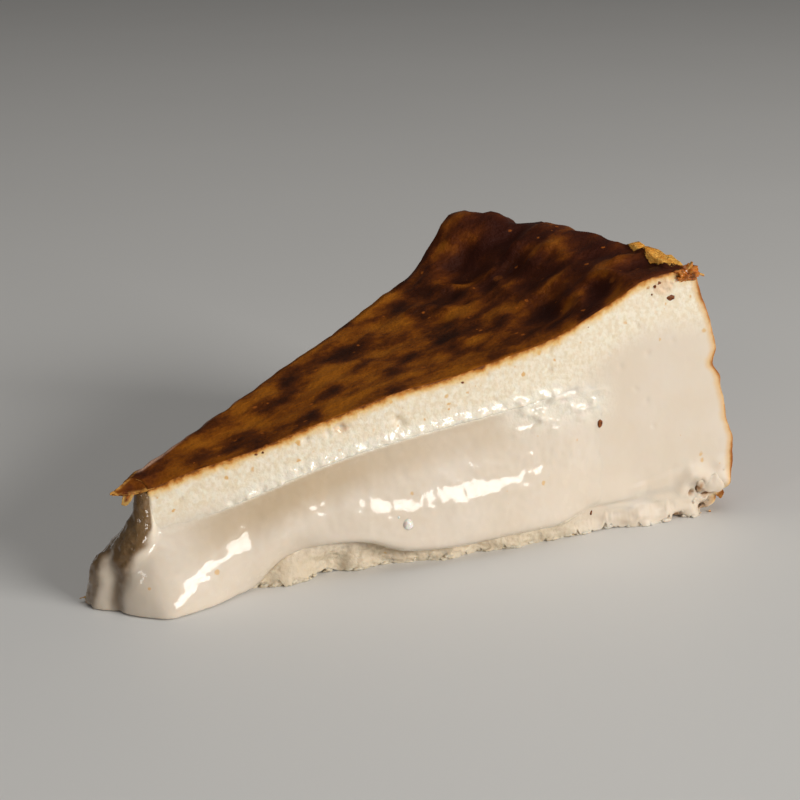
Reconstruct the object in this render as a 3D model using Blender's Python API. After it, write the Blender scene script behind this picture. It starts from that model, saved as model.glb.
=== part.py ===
"""A slice of burnt-top cheesecake with a runny centre, cut as a wedge from a round cake.

Two solids: the firm baked cheesecake with its browned skin, and the runny centre, which
runs through it from cut face to cut face and has spread onto the table at the point.
Metres, +Z up. +X runs along the middle of the slice, from its point to its rim, and the
origin is on the flat underside. Side -1 is the cut face towards -Y, side +1 the other.
"""

import math

import bmesh
import bpy
from mathutils import Vector, noise

# Size of the slice
SLICE_ANGLE = math.radians(34.5)
RIM_RADIUS = 0.1077
POINT_X = -0.060
NOSE_RADIUS = 0.0045
TIP_HEIGHT = 0.0206
TOP_SLOPE = 0.214
RIM_ROLL = 0.0025
RIM_ROLL_WIDTH = 0.007

# The rim rises from its first radius to its second by its third size, at each cut face
RISE_NEAR = (0.078, 0.101, 0.0062)
RISE_FAR = (0.086, 0.105, 0.0072)

# The outer wall, baked against folded paper
WALL_RADIUS = 0.1168
WALL_BELLY_HEIGHT = 0.012
WALL_LEAN = 0.26
WALL_TUCK = 0.0028
WALL_GROOVE_HEIGHT = 0.030
WALL_GROOVE_DEPTH = 0.0010
WALL_GROOVE_WIDTH = 0.0025
PLEATS = 7
PLEAT_DEPTH = 0.0013
PLEAT_MIDDLE = 0.7
PLEAT_WANDER = 0.5
PLEAT_WANDER_SIZE = 0.12
PLEAT_WANDER_PER_HEIGHT = 8.0

# Relief of the firm cake
CRUMB_SIZE = 0.0042
CRUMB_RELIEF = 0.00035
BASE_RAG_SIZE = 0.0030
BASE_RAG = 0.0009
BASE_RAG_HEIGHT = 0.005
SKIN_FOLD_SIZE = 0.011
SKIN_FOLD = 0.0011
SKIN_FOLD_INSIDE = 0.15
SKIN_FOLDED_FROM = (0.060, 0.085)
FIRM_RELIEF_FADE = 6

# The torn end of the skin, which juts out over the point
FLAP_REACH = 0.0050
FLAP_DROP = 0.0006
FLAP_HOLLOW = 0.5
FLAP_NARROWING = 0.4

# Where the runny centre meets the firm cake on a cut face: radius, then height
SEAM_ABOVE = (
    (0.0, 0.0128), (0.012, 0.0136), (0.035, 0.0201), (0.058, 0.0242), (0.080, 0.0274), (0.096, 0.0290),
)
SEAM_BELOW = (
    (0.0, 0.0), (0.017, 0.0), (0.024, 0.0010), (0.034, 0.0062),
    (0.043, 0.0060), (0.055, 0.0036), (0.074, 0.0032), (0.096, 0.0080),
)

# How far the runny centre bulges out of the cut face: radius, then depth
BELLY = (
    (0.0, 0.0062), (0.004, 0.0074), (0.009, 0.0072), (0.016, 0.0054), (0.024, 0.0046),
    (0.034, 0.0046), (0.062, 0.0060), (0.080, 0.0038), (0.096, 0.0006),
)
FAR_BELLY_SHARE = 0.85
BELLY_FADE = 3

# The bulge from the lower seam to the upper one: share of the height, then share of the
# depth, where it hangs over the lower band and where it has run down onto the table
HANGING = ((0.0, 0.20), (0.10, 0.74), (0.36, 1.0), (0.70, 0.46), (0.88, 0.04), (1.0, -0.08))
SPREADING = ((0.0, 1.0), (0.30, 0.96), (0.60, 0.72), (0.85, 0.30), (1.0, -0.05))
SPREAD_END = (0.012, 0.026)

# Both ends of the runny centre: the front on the table and the closed end near the rim
CORE_START = -0.0026
CORE_END = 0.0960
FRONT_LENGTH = 0.0080
FRONT_TOP_LENGTH = 0.0070
END_LENGTH = 0.014
LEAST_HALF_WIDTH = 0.0009
EDGE_START = 0.0002
FRONT_CROWDING = 1.3

# How far the lower band stands out of the cut face at the table: radius, then depth
BASE_BAND = (
    (0.020, 0.0002), (0.036, -0.0006), (0.052, 0.0004), (0.068, 0.0026), (0.080, 0.0008), (0.110, 0.0012),
)

# The lobe that ran round the point onto the table: centre along +X from the point and
# across it, length and width from the centre, height, and the power of its profile
POINT_LOBE = (0.0024, 0.0044, 0.0073, 0.0061, 0.0122, 1.4)

# Crumbs of torn skin and cake: radius, share of the half angle, height, size
CRUMBS = (
    (0.1056, -0.99, 0.0482, 0.0019),
    (0.1030, -0.97, 0.0489, 0.0015),
    (0.1148, -0.99, 0.0022, 0.0021),
    (0.1100, -1.00, 0.0017, 0.0018),
    (0.1155, -0.93, 0.0015, 0.0016),
    (0.1064, 0.97, 0.0500, 0.0018),
)
CRUMB_FLATNESS = 0.6
CRUMB_UNEVENNESS = 0.5

# The gap between the two solids, and the size below which points are merged
GAP = 0.00036
SLIVER = 0.00004
WELD = 0.00001
SHARP_ANGLE = math.radians(40.0)

# Mesh density: cuts along the radius, across the angle and up the height
FIRM_CUTS = (45, 20, 17)
CORE_CUTS = (42, 7, 9)
LOBE_SEGMENTS = 24
LOBE_RINGS = 14

HALF_ANGLE = SLICE_ANGLE / 2


def clear_scene():
    """Removes every object of the startup scene."""
    for obj in list(bpy.data.objects):
        bpy.data.objects.remove(obj, do_unlink=True)


def ease(start, end, x):
    """0 before start, 1 after end and a smooth step between them."""
    t = min(max((x - start) / (end - start), 0.0), 1.0)
    return t * t * (3.0 - 2.0 * t)


def slope(points, i):
    """The slope of a smooth line through the points, at point i."""
    (x0, y0), (x1, y1) = points[max(i - 1, 0)], points[min(i + 1, len(points) - 1)]
    return (y1 - y0) / (x1 - x0)


def curve(points, x):
    """A smooth line through a few (x, y) points, level beyond its ends."""
    x = min(max(x, points[0][0]), points[-1][0])
    i = max(k for k in range(len(points) - 1) if points[k][0] <= x)
    (x0, y0), (x1, y1) = points[i], points[i + 1]
    t = (x - x0) / (x1 - x0)
    bend_0 = slope(points, i) * (x1 - x0)
    bend_1 = slope(points, i + 1) * (x1 - x0)
    step = t * t * (3.0 - 2.0 * t)
    return y0 + (y1 - y0) * step + bend_0 * t * (1.0 - t) ** 2 - bend_1 * t * t * (1.0 - t)


def rounded(start, length, x):
    """A quarter of an ellipse: 0 at start and 1 from start + length on."""
    t = min(max((x - start) / length, 0.0), 1.0)
    return math.sqrt(1.0 - (1.0 - t) ** 2)


def rough(point, size, seed):
    """Smooth noise from about -1 to 1 whose bumps are about this size."""
    return noise.noise(point / size + Vector((seed, 2.0 * seed, 3.0 * seed)))


def place(radius, angle, height):
    """A point of the slice from its distance to the point of the wedge and its angle."""
    return Vector((POINT_X + radius * math.cos(angle), radius * math.sin(angle), height))


def out_of_face(side):
    """The direction straight out of the cut face on this side."""
    angle = side * HALF_ANGLE
    return Vector((-side * math.sin(angle), side * math.cos(angle), 0.0))


def top_height(radius, share):
    """Height of the skin: it sinks towards the point and rises at the rim."""
    near = RISE_NEAR[2] * ease(RISE_NEAR[0], RISE_NEAR[1], radius)
    far = RISE_FAR[2] * ease(RISE_FAR[0], RISE_FAR[1], radius)
    rise = near + (far - near) * (share + 1.0) / 2.0
    roll = RIM_ROLL * max(0.0, (radius - RIM_RADIUS + RIM_ROLL_WIDTH) / RIM_ROLL_WIDTH) ** 2
    return TIP_HEIGHT + TOP_SLOPE * radius + rise - roll


def skin_folds(point, radius):
    """Wrinkles of the skin, deeper towards the rim."""
    folds = 1.0 - 2.0 * abs(rough(point, SKIN_FOLD_SIZE, 3.0))
    share = SKIN_FOLD_INSIDE + (1.0 - SKIN_FOLD_INSIDE) * ease(*SKIN_FOLDED_FROM, radius)
    return SKIN_FOLD * folds * share


def wall_radius(height, angle):
    """Radius of the outer wall, with its belly, a level groove and upright pleats."""
    above = max(0.0, height - WALL_BELLY_HEIGHT)
    below = max(0.0, 1.0 - height / WALL_BELLY_HEIGHT)
    groove = WALL_GROOVE_DEPTH * math.exp(-(((height - WALL_GROOVE_HEIGHT) / WALL_GROOVE_WIDTH) ** 2))
    spot = Vector((angle, PLEAT_WANDER_PER_HEIGHT * height, 0.0))
    turn = PLEATS * angle / SLICE_ANGLE + PLEAT_WANDER * rough(spot, PLEAT_WANDER_SIZE, 1.0)
    pleat = PLEAT_DEPTH * (abs(math.sin(math.pi * turn)) - PLEAT_MIDDLE)
    return WALL_RADIUS - WALL_LEAN * above - WALL_TUCK * below**2 - groove + pleat


def face_relief(side, radius, height):
    """How far the cut face of the firm cake stands out of its plane."""
    point = Vector((radius, height, side * 0.1))
    crumb = CRUMB_RELIEF * rough(point, CRUMB_SIZE, 5.0)
    at_base = 1.0 - ease(0.0, BASE_RAG_HEIGHT, height)
    rag = BASE_RAG * rough(point, BASE_RAG_SIZE, 7.0)
    return crumb + at_base * (rag + curve(BASE_BAND, radius))


def firm_point(along, share, up):
    """Maps the unit block onto the firm cake: along its radius, across its angle and up."""
    angle = share * HALF_ANGLE
    rim_height = top_height(RIM_RADIUS, share)
    outer = wall_radius(up * rim_height, angle)
    radius = NOSE_RADIUS + along * (outer - NOSE_RADIUS)
    height = up * top_height(NOSE_RADIUS + along * (RIM_RADIUS - NOSE_RADIUS), share)
    point = place(radius, angle, height)
    if along == 0.0 and up == 1.0:
        reach = FLAP_REACH * (1.0 - FLAP_HOLLOW * share**2)
        point += Vector((-reach, -FLAP_NARROWING * point.y, -FLAP_DROP))
    side = math.copysign(1.0, share)
    point += out_of_face(side) * face_relief(side, radius, height) * abs(share) ** FIRM_RELIEF_FADE
    if up == 1.0:
        point.z += skin_folds(point, radius)
    return point


def seams(radius):
    """Lower and upper edge of the runny centre, which close in at both of its ends."""
    low = curve(SEAM_BELOW, radius)
    high = curve(SEAM_ABOVE, radius) * rounded(CORE_START - EDGE_START, FRONT_TOP_LENGTH, radius)
    end = rounded(-CORE_END - EDGE_START, END_LENGTH, -radius)
    middle = (low + high) / 2
    return middle + (low - middle) * end, middle + (high - middle) * end


def core_point(along, share, up):
    """Maps the unit block onto the runny centre, from its front on the table to the rim."""
    radius = CORE_START + along**FRONT_CROWDING * (CORE_END - CORE_START)
    low, high = seams(radius)
    side = math.copysign(1.0, share)
    hanging = ease(*SPREAD_END, radius)
    shape = curve(SPREADING, up) * (1.0 - hanging) + curve(HANGING, up) * hanging
    depth = curve(BELLY, radius) * shape * (FAR_BELLY_SHARE if side > 0.0 else 1.0)
    front = rounded(CORE_START - EDGE_START, FRONT_LENGTH, radius)
    half = max(radius * math.sin(HALF_ANGLE), LEAST_HALF_WIDTH)
    point = place(radius, share * HALF_ANGLE, low + up * (high - low))
    point.y = share * half * front
    return point + out_of_face(side) * depth * front * abs(share) ** BELLY_FADE


def unit_block(cuts):
    """A cube from 0 to 1 along X and Z and from -1 to 1 along Y, cut into a grid."""
    bm = bmesh.new()
    bmesh.ops.create_cube(bm, size=1.0)
    for axis, count in enumerate(cuts):
        edges = [e for e in bm.edges if abs(e.verts[0].co[axis] - e.verts[1].co[axis]) > 0.5]
        bmesh.ops.subdivide_edges(bm, edges=edges, cuts=count, use_grid_fill=True)
    for v in bm.verts:
        v.co = Vector((v.co.x + 0.5, 2.0 * v.co.y, v.co.z + 0.5))
    return bm


def shaped_block(name, cuts, shape):
    """The unit block with each of its points moved to shape(along, share, up)."""
    bm = unit_block(cuts)
    for v in bm.verts:
        v.co = shape(round(v.co.x, 6), round(v.co.y, 6), round(v.co.z, 6))
    return finished(name, bm)


def lobe(name, x, y, length, width, height, power):
    """A mound with a flat foot on the table and a rounded outline."""
    bm = bmesh.new()
    bmesh.ops.create_uvsphere(bm, u_segments=LOBE_SEGMENTS, v_segments=LOBE_RINGS, radius=1.0)
    for v in bm.verts:
        reach = min(1.0, math.hypot(v.co.x, v.co.y))
        rise = (1.0 - reach**power) ** (1.0 / power) if v.co.z > WELD else 0.0
        v.co = Vector((POINT_X + x + length * v.co.x, y + width * v.co.y, height * rise))
    bmesh.ops.remove_doubles(bm, verts=bm.verts, dist=WELD)
    return finished(name, bm)


def crumb(name, radius, share, height, size):
    """A small torn crumb, a flat uneven lump with few faces."""
    bm = bmesh.new()
    bmesh.ops.create_icosphere(bm, subdivisions=1, radius=size)
    bmesh.ops.scale(bm, verts=bm.verts, vec=(1.0, 1.0, CRUMB_FLATNESS))
    centre = place(radius, share * HALF_ANGLE, height)
    for v in bm.verts:
        v.co = centre + v.co * (1.0 + CRUMB_UNEVENNESS * rough(v.co + centre, size, 9.0))
        v.co.z = max(v.co.z, 0.0)
    return finished(name, bm)


def finished(name, bm):
    """Turns a bmesh into an object of the slice."""
    mesh = bpy.data.meshes.new(name)
    bm.to_mesh(mesh)
    bm.free()
    obj = bpy.data.objects.new(name, mesh)
    slice_collection.objects.link(obj)
    return obj


def combine(target, helpers, operation):
    """Joins the helper objects to the target, or cuts them from it, and removes them."""
    group = bpy.data.collections.new(operation.lower() + "_" + target.name)
    bpy.context.scene.collection.children.link(group)
    for helper in helpers:
        slice_collection.objects.unlink(helper)
        group.objects.link(helper)
    modifier = target.modifiers.new(operation.lower(), "BOOLEAN")
    modifier.operation = operation
    modifier.operand_type = "COLLECTION"
    modifier.collection = group
    modifier.solver = "MANIFOLD"
    graph = bpy.context.evaluated_depsgraph_get()
    target.data = bpy.data.meshes.new_from_object(target.evaluated_get(graph))
    target.modifiers.clear()
    clean(target.data)
    for helper in helpers:
        bpy.data.objects.remove(helper, do_unlink=True)
    bpy.data.collections.remove(group)


def clean(mesh):
    """Closes up the slivers that a Boolean leaves and cuts its faces into triangles."""
    bm = bmesh.new()
    bm.from_mesh(mesh)
    bmesh.ops.triangulate(bm, faces=bm.faces)
    bmesh.ops.remove_doubles(bm, verts=bm.verts, dist=SLIVER)
    bmesh.ops.dissolve_degenerate(bm, edges=bm.edges, dist=SLIVER)
    bmesh.ops.triangulate(bm, faces=bm.faces)
    bm.to_mesh(mesh)
    bm.free()


def grown_copy(obj, name, distance):
    """A copy of a solid, this much larger on every side."""
    bm = bmesh.new()
    bm.from_mesh(obj.data)
    bmesh.ops.remove_doubles(bm, verts=bm.verts, dist=WELD)
    bm.normal_update()
    for v, normal in [(v, v.normal.copy()) for v in bm.verts]:
        v.co += normal * distance
    return finished(name, bm)


def finish(obj, name, colour, roughness):
    """Shades an object smooth and gives it its own material."""
    obj.data.shade_smooth()
    obj.data.set_sharp_from_angle(angle=SHARP_ANGLE)
    material = bpy.data.materials.new(name)
    material.use_nodes = True
    shader = material.node_tree.nodes["Principled BSDF"]
    shader.inputs["Base Color"].default_value = (*colour, 1.0)
    shader.inputs["Roughness"].default_value = roughness
    shader.inputs["Metallic"].default_value = 0.0
    obj.data.materials.clear()
    obj.data.materials.append(material)


clear_scene()
slice_collection = bpy.data.collections.new("cheesecake_slice")
bpy.context.scene.collection.children.link(slice_collection)

runny_centre = shaped_block("runny_centre", CORE_CUTS, core_point)
combine(runny_centre, [lobe("point_lobe", *POINT_LOBE)], "UNION")
finish(runny_centre, "runny_custard", (0.80, 0.66, 0.47), 0.25)

firm_cake = shaped_block("firm_cake", FIRM_CUTS, firm_point)
crumbs = [crumb(f"crumb_{i}", *values) for i, values in enumerate(CRUMBS)]
combine(firm_cake, crumbs, "UNION")
combine(firm_cake, [grown_copy(runny_centre, "hollow", GAP)], "DIFFERENCE")
finish(firm_cake, "baked_custard", (0.78, 0.66, 0.44), 0.55)
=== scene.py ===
# %% [markdown]
# # A slice of burnt-top cheesecake with a runny centre
# A cheesecake that is baked hot and short has a nearly burnt skin, a firm rim and a centre
# that still flows. Cut open, the centre bulges out of both cut faces and runs onto the
# table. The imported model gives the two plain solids, and this lesson gives them their looks.

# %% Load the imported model
import math
import random
from bisect import bisect_right
from functools import lru_cache, partial
from operator import itemgetter

import bmesh
import bpy
from mathutils import Matrix, Vector, noise


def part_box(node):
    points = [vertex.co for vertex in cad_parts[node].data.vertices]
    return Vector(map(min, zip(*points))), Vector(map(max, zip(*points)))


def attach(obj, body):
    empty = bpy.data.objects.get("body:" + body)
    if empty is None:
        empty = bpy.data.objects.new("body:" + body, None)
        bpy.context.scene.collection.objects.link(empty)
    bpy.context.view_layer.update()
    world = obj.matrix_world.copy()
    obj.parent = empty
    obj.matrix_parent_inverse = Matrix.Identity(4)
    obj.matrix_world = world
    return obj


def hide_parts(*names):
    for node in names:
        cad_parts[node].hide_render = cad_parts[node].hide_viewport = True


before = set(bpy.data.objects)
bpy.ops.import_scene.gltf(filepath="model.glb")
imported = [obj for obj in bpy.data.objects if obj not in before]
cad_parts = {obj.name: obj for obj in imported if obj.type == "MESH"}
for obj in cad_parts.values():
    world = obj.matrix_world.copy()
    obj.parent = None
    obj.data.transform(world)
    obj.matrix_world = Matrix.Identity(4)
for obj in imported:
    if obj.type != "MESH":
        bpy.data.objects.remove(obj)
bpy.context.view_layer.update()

for node in sorted(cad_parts):
    low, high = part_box(node)
    print(node, "is", [round(1000 * side, 1) for side in high - low], "mm")

# %% [markdown]
# ## The camera
# The picture was taken from a little above the table with a long lens, which keeps the
# wedge from looking stretched. The heading runs from +Y towards +X, the pitch looks down,
# and the small roll is the hand that held the camera. Three turns in a row give the pose.

# %% Camera
CAMERA_PLACE = (-0.2054, -0.2631, 0.1292)
CAMERA_HEADING = math.radians(37.92)
CAMERA_PITCH = math.radians(17.43)
CAMERA_ROLL = math.radians(-1.09)

CAMERA_LENS = 85.5
SENSOR_WIDTH = 36.0

camera = bpy.data.objects.new("camera", bpy.data.cameras.new("camera"))
camera.data.lens = CAMERA_LENS
camera.data.sensor_width = SENSOR_WIDTH
camera.data.clip_start = 0.01
camera.matrix_world = (
    Matrix.Translation(CAMERA_PLACE)
    @ Matrix.Rotation(-CAMERA_HEADING, 4, "Z")
    @ Matrix.Rotation(math.pi / 2 - CAMERA_PITCH, 4, "X")
    @ Matrix.Rotation(CAMERA_ROLL, 4, "Z")
)
bpy.context.scene.collection.objects.link(camera)
bpy.context.scene.camera = camera
print("the camera stands", round(math.dist(CAMERA_PLACE, (0, 0, 0)), 3), "m from the slice")

# %% [markdown]
# ## Floor and light
# A plain pale floor shows the true outline and lets light bounce back under the slice. The
# wide window-like light at the right makes the long highlights of the wet centre. The other
# lights only open up the shadows. The plain view transform keeps the creams from greying.

# %% Floor and world
def new_object(name, bm):
    """Turns a bmesh into an object of the scene."""
    mesh = bpy.data.meshes.new(name)
    bm.to_mesh(mesh)
    bm.free()
    obj = bpy.data.objects.new(name, mesh)
    bpy.context.scene.collection.objects.link(obj)
    return obj


FLOOR_SIZE = 6.0
SKY_COLOUR = (1.0, 0.97, 0.93, 1.0)
SKY_STRENGTH = 0.09
bm = bmesh.new()
bmesh.ops.create_grid(bm, x_segments=8, y_segments=8, size=FLOOR_SIZE / 2)
floor = new_object("floor", bm)

world = bpy.data.worlds.new("studio")
world.use_nodes = True
sky = world.node_tree.nodes["Background"]
sky.inputs["Color"].default_value = SKY_COLOUR
sky.inputs["Strength"].default_value = SKY_STRENGTH
bpy.context.scene.world = world
bpy.context.scene.view_settings.view_transform = "Standard"
print("floor of", FLOOR_SIZE, "m")


# %% Lights
def soft_light(name, place, aim, width, height, power, colour):
    """A rectangular light that faces a point."""
    lamp = bpy.data.lights.new(name, "AREA")
    lamp.shape = "RECTANGLE"
    lamp.size = width
    lamp.size_y = height
    lamp.energy = power
    lamp.color = colour
    obj = bpy.data.objects.new(name, lamp)
    obj.matrix_world = (
        Matrix.Translation(place)
        @ (Vector(aim) - Vector(place)).to_track_quat("-Z", "Y").to_matrix().to_4x4()
    )
    bpy.context.scene.collection.objects.link(obj)
    return obj


soft_light("window", (0.26, -0.90, 0.36), (0.0, 0.0, 0.02), 0.60, 0.26, 8.6, (1.0, 0.985, 0.955))
soft_light("side", (-0.90, -0.18, 0.50), (-0.055, 0.0, 0.015), 0.08, 0.22, 0.5, (1.0, 0.98, 0.95))
soft_light("overhead", (0.0, -0.1, 1.6), (0.0, 0.0, 0.0), 1.1, 1.1, 5.5, (1.0, 0.99, 0.975))
print("lights:", len(bpy.data.lights))

# %% [markdown]
# ## The outline of the slice
# Every form of the slice follows from a few curves: how high the skin stands along the
# radius, where the runny centre begins and ends on a cut face, and how far it bulges.
# Each curve is a handful of measured points with a smooth line through them, so a form is
# changed by moving a point. These are the same values as the solids have. All lengths are in
# metres. A relief could also be sculpted by hand, but a formula can be read and changed.

# %% Curves and noise
def ease(start, end, x):
    """0 before start, 1 after end and a smooth step between them."""
    t = min(max((x - start) / (end - start), 0.0), 1.0)
    return t * t * (3.0 - 2.0 * t)


def fade(start, end, x):
    """1 before start, 0 after end and a smooth step between them."""
    return 1.0 - ease(start, end, x)


def span(start, full, fading, end, x):
    """1 between full and fading, 0 before start and after end, and smooth in between."""
    return ease(start, full, x) * fade(fading, end, x)


def slope(points, i):
    """The slope of a smooth line through the points, at point i."""
    (x0, y0), (x1, y1) = points[max(i - 1, 0)], points[min(i + 1, len(points) - 1)]
    return (y1 - y0) / (x1 - x0)


def curve(points, x):
    """A smooth line through a few (x, y) points, level beyond its ends."""
    x = min(max(x, points[0][0]), points[-1][0])
    i = bisect_right(points, x, 0, len(points) - 1, key=itemgetter(0)) - 1
    (x0, y0), (x1, y1) = points[i], points[i + 1]
    t = (x - x0) / (x1 - x0)
    bend_0 = slope(points, i) * (x1 - x0)
    bend_1 = slope(points, i + 1) * (x1 - x0)
    step = t * t * (3.0 - 2.0 * t)
    return y0 + (y1 - y0) * step + bend_0 * t * (1.0 - t) ** 2 - bend_1 * t * t * (1.0 - t)


def rounded(start, length, x):
    """A quarter of an ellipse: 0 at start and 1 from start + length on."""
    t = min(max((x - start) / length, 0.0), 1.0)
    return math.sqrt(1.0 - (1.0 - t) ** 2)


def hump(middle, width, x):
    """A smooth hump of height 1 around the middle."""
    return math.exp(-(((x - middle) / width) ** 2))


def rough(point, size, seed):
    """Smooth noise from about -1 to 1 whose bumps are about this size."""
    return noise.noise(point / size + Vector((seed, 2.0 * seed, 3.0 * seed)))


# %% The slice's own coordinates
SLICE_ANGLE = math.radians(34.5)
HALF_ANGLE = SLICE_ANGLE / 2
POINT_X = -0.060
NEAR, FAR = -1.0, 1.0


def place(radius, angle, height):
    """A point of the slice from its distance to the point of the wedge and its angle."""
    return Vector((POINT_X + radius * math.cos(angle), radius * math.sin(angle), height))


def out_of_face(side):
    """The direction straight out of the cut face on this side."""
    angle = side * HALF_ANGLE
    return Vector((-side * math.sin(angle), side * math.cos(angle), 0.0))


def polar(point):
    """Radius and share of the half angle of a point: -1 on the near face, 1 on the far one."""
    x = point.x - POINT_X
    return math.hypot(x, point.y), math.atan2(point.y, x) / HALF_ANGLE


def along_face(side, radius, height, outward=0.0):
    """A point on a cut face, or this far out of it."""
    return place(radius, side * HALF_ANGLE, height) + out_of_face(side) * outward


print("the slice is a wedge of", round(math.degrees(SLICE_ANGLE), 1), "degrees")

# %% [markdown]
# ## Skin and wall
# The skin sank towards the point while it cooled and stayed high at the rim, where it
# crinkled like thin leather. Two sizes of folded noise make the crinkles: the absolute value
# of noise gives sharp creases between round folds. Stretching it along the radius makes the
# folds run down the slope, as they do on the real one.

# %% Heights of the skin and radius of the wall
RIM_RADIUS = 0.1077
SKIN_NEAR = (
    (0.0, 0.0199), (0.0056, 0.0208), (0.0117, 0.0224), (0.0239, 0.0249), (0.0302, 0.0268),
    (0.0365, 0.0284), (0.0429, 0.0302), (0.0497, 0.0318), (0.0578, 0.0330), (0.0657, 0.0346),
    (0.0711, 0.0359), (0.0762, 0.0370), (0.0825, 0.0391), (0.0881, 0.0421), (0.0924, 0.0441),
    (0.0962, 0.0462), (0.1024, 0.0474), (0.1077, 0.0467),
)
TIP_HEIGHT = 0.0206
TOP_SLOPE = 0.214
RIM_ROLL = 0.0025
RIM_ROLL_WIDTH = 0.007
RISE_FAR = (0.086, 0.105, 0.0072)
SKIN_FOLD_SIZE = 0.011
SKIN_FOLD = 0.0015


def top_height(radius, share):
    """Height of the skin: it sinks towards the point and rises at the rim."""
    near = curve(SKIN_NEAR, radius)
    roll = RIM_ROLL * max(0.0, (radius - RIM_RADIUS + RIM_ROLL_WIDTH) / RIM_ROLL_WIDTH) ** 2
    far = TIP_HEIGHT + TOP_SLOPE * radius + RISE_FAR[2] * ease(RISE_FAR[0], RISE_FAR[1], radius) - roll
    return near + (far - near) * (share + 1.0) / 2.0


def skin_relief(radius, share):
    """Wrinkles of the skin: broad folds, and crinkles that run down from the rim."""
    angle = share * HALF_ANGLE
    point = place(radius, angle, top_height(radius, share))
    at_rim = ease(0.060, 0.092, radius)
    cut = 1.0 - 0.75 * ease(0.70, 1.0, -share)
    folds = SKIN_FOLD * (0.75 - 2.0 * abs(rough(point, SKIN_FOLD_SIZE, 3.0)))
    drawn = Vector((0.45 * radius, 0.1 * angle, 0.0))
    crinkles = 0.5 - 2.0 * abs(rough(drawn, 0.0031, 4.0)) + 0.6 * rough(drawn, 0.0015, 6.0)
    blisters = rough(point, 0.0042, 8.0)
    relief = folds * (0.15 + 0.85 * at_rim) + 0.00050 * crinkles * at_rim
    return cut * relief + 0.00013 * blisters


WALL_NEAR = (
    (0.0, 0.1122), (0.0008, 0.1136), (0.0036, 0.1141), (0.0050, 0.1157), (0.0099, 0.1169),
    (0.0139, 0.1168), (0.0170, 0.1160), (0.0231, 0.1144), (0.0274, 0.1134), (0.0295, 0.1121),
    (0.0325, 0.1126), (0.0359, 0.1118), (0.0418, 0.1097), (0.0463, 0.1080),
)
WALL_RADIUS = 0.1168
WALL_BELLY_HEIGHT = 0.012
WALL_LEAN = 0.26
WALL_TUCK = 0.0028
WALL_GROOVE = (0.030, 0.0025, 0.0010)
PLEATS = 7
PLEAT_DEPTH = 0.0013


def wall_radius(height, angle):
    """Radius of the outer wall, with its belly, a level groove and upright pleats."""
    above = max(0.0, height - WALL_BELLY_HEIGHT)
    below = max(0.0, 1.0 - height / WALL_BELLY_HEIGHT)
    groove = WALL_GROOVE[2] * hump(WALL_GROOVE[0], WALL_GROOVE[1], height)
    turn = PLEATS * angle / SLICE_ANGLE + 0.5 * rough(Vector((angle, height * 8.0, 0.0)), 0.12, 1.0)
    pleat = PLEAT_DEPTH * (abs(math.sin(math.pi * turn)) - 0.7)
    plain = WALL_RADIUS - WALL_LEAN * above - WALL_TUCK * below**2 - groove + pleat
    spot = Vector((0.11 * angle, height, 0.0))
    pitted = 0.00030 * rough(spot, 0.0042, 2.0) + 0.00016 * rough(spot, 0.0013, 5.0)
    at_cut = ease(0.72, 0.97, -angle / HALF_ANGLE)
    return plain + (curve(WALL_NEAR, height) - plain) * at_cut + pitted


print("rim", round(1000 * top_height(RIM_RADIUS, NEAR), 1), "mm high at the near face")

# %% [markdown]
# ## Where firm and runny meet
# On a cut face the runny part is framed by two seams. The upper one carries a wet lip where
# the firm band hangs over. The lower one is a crease: the bulge sags over the crumbly foot.
# Towards the rim both seams close in, and the two surfaces cross at a very small angle, so
# that the change cannot be seen, as on the real one.

# %% Seams and profiles
SEAM_ABOVE = (
    (0.0, 0.0130), (0.012, 0.0137), (0.022, 0.0163), (0.035, 0.0201), (0.047, 0.0226),
    (0.058, 0.0242), (0.073, 0.0262), (0.085, 0.0283), (0.0985, 0.0290),
)
SEAM_BELOW = (
    (0.0, 0.0), (0.0185, 0.0), (0.0225, 0.0004), (0.0273, 0.0040), (0.0309, 0.0056),
    (0.0343, 0.0062), (0.0386, 0.0063), (0.0435, 0.0055), (0.0492, 0.0032), (0.0587, 0.0022),
    (0.0714, 0.0026), (0.0806, 0.0029), (0.0850, 0.0042), (0.0885, 0.0053), (0.0985, 0.0055),
)
BELLY = (
    (0.0, 0.0062), (0.004, 0.0074), (0.009, 0.0072), (0.016, 0.00535), (0.021, 0.0037),
    (0.028, 0.0026), (0.035, 0.0029), (0.042, 0.0036), (0.049, 0.0041), (0.057, 0.0042),
    (0.065, 0.0041), (0.073, 0.0037), (0.080, 0.0028), (0.086, 0.0014), (0.091, 0.0005),
    (0.095, 0.0001), (0.0985, 0.0),
)
SPREADING = (
    (0.0, 1.0), (0.12, 0.985), (0.25, 0.920), (0.38, 0.822), (0.52, 0.689), (0.68, 0.475), (0.80, 0.265),
    (0.90, 0.085), (0.95, 0.022), (1.0, 0.0),
)
SETTLING = (
    (0.0, 0.14), (0.09, 0.50), (0.19, 0.81), (0.29, 0.96), (0.37, 1.0), (0.49, 0.90), (0.63, 0.66), (0.77, 0.37),
    (0.90, 0.11), (1.0, 0.0),
)
SAGGING = (
    (0.0, 0.62), (0.04, 0.90), (0.08, 1.0), (0.158, 0.965), (0.239, 0.899), (0.320, 0.809), (0.400, 0.694),
    (0.470, 0.575), (0.540, 0.480), (0.640, 0.366), (0.734, 0.264), (0.823, 0.172), (0.911, 0.085), (1.0, 0.0),
)
HANGING = (
    (0.0, 0.50), (0.05, 0.90), (0.10, 1.0), (0.160, 0.992), (0.220, 0.965), (0.304, 0.898), (0.388, 0.795),
    (0.440, 0.702), (0.480, 0.619), (0.530, 0.517), (0.650, 0.335), (0.743, 0.210), (0.829, 0.115), (0.914, 0.045),
    (1.0, 0.0),
)
SHAPES = ((0.013, SPREADING), (0.026, SETTLING), (0.038, SAGGING), (0.048, SAGGING), (0.062, HANGING))
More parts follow.
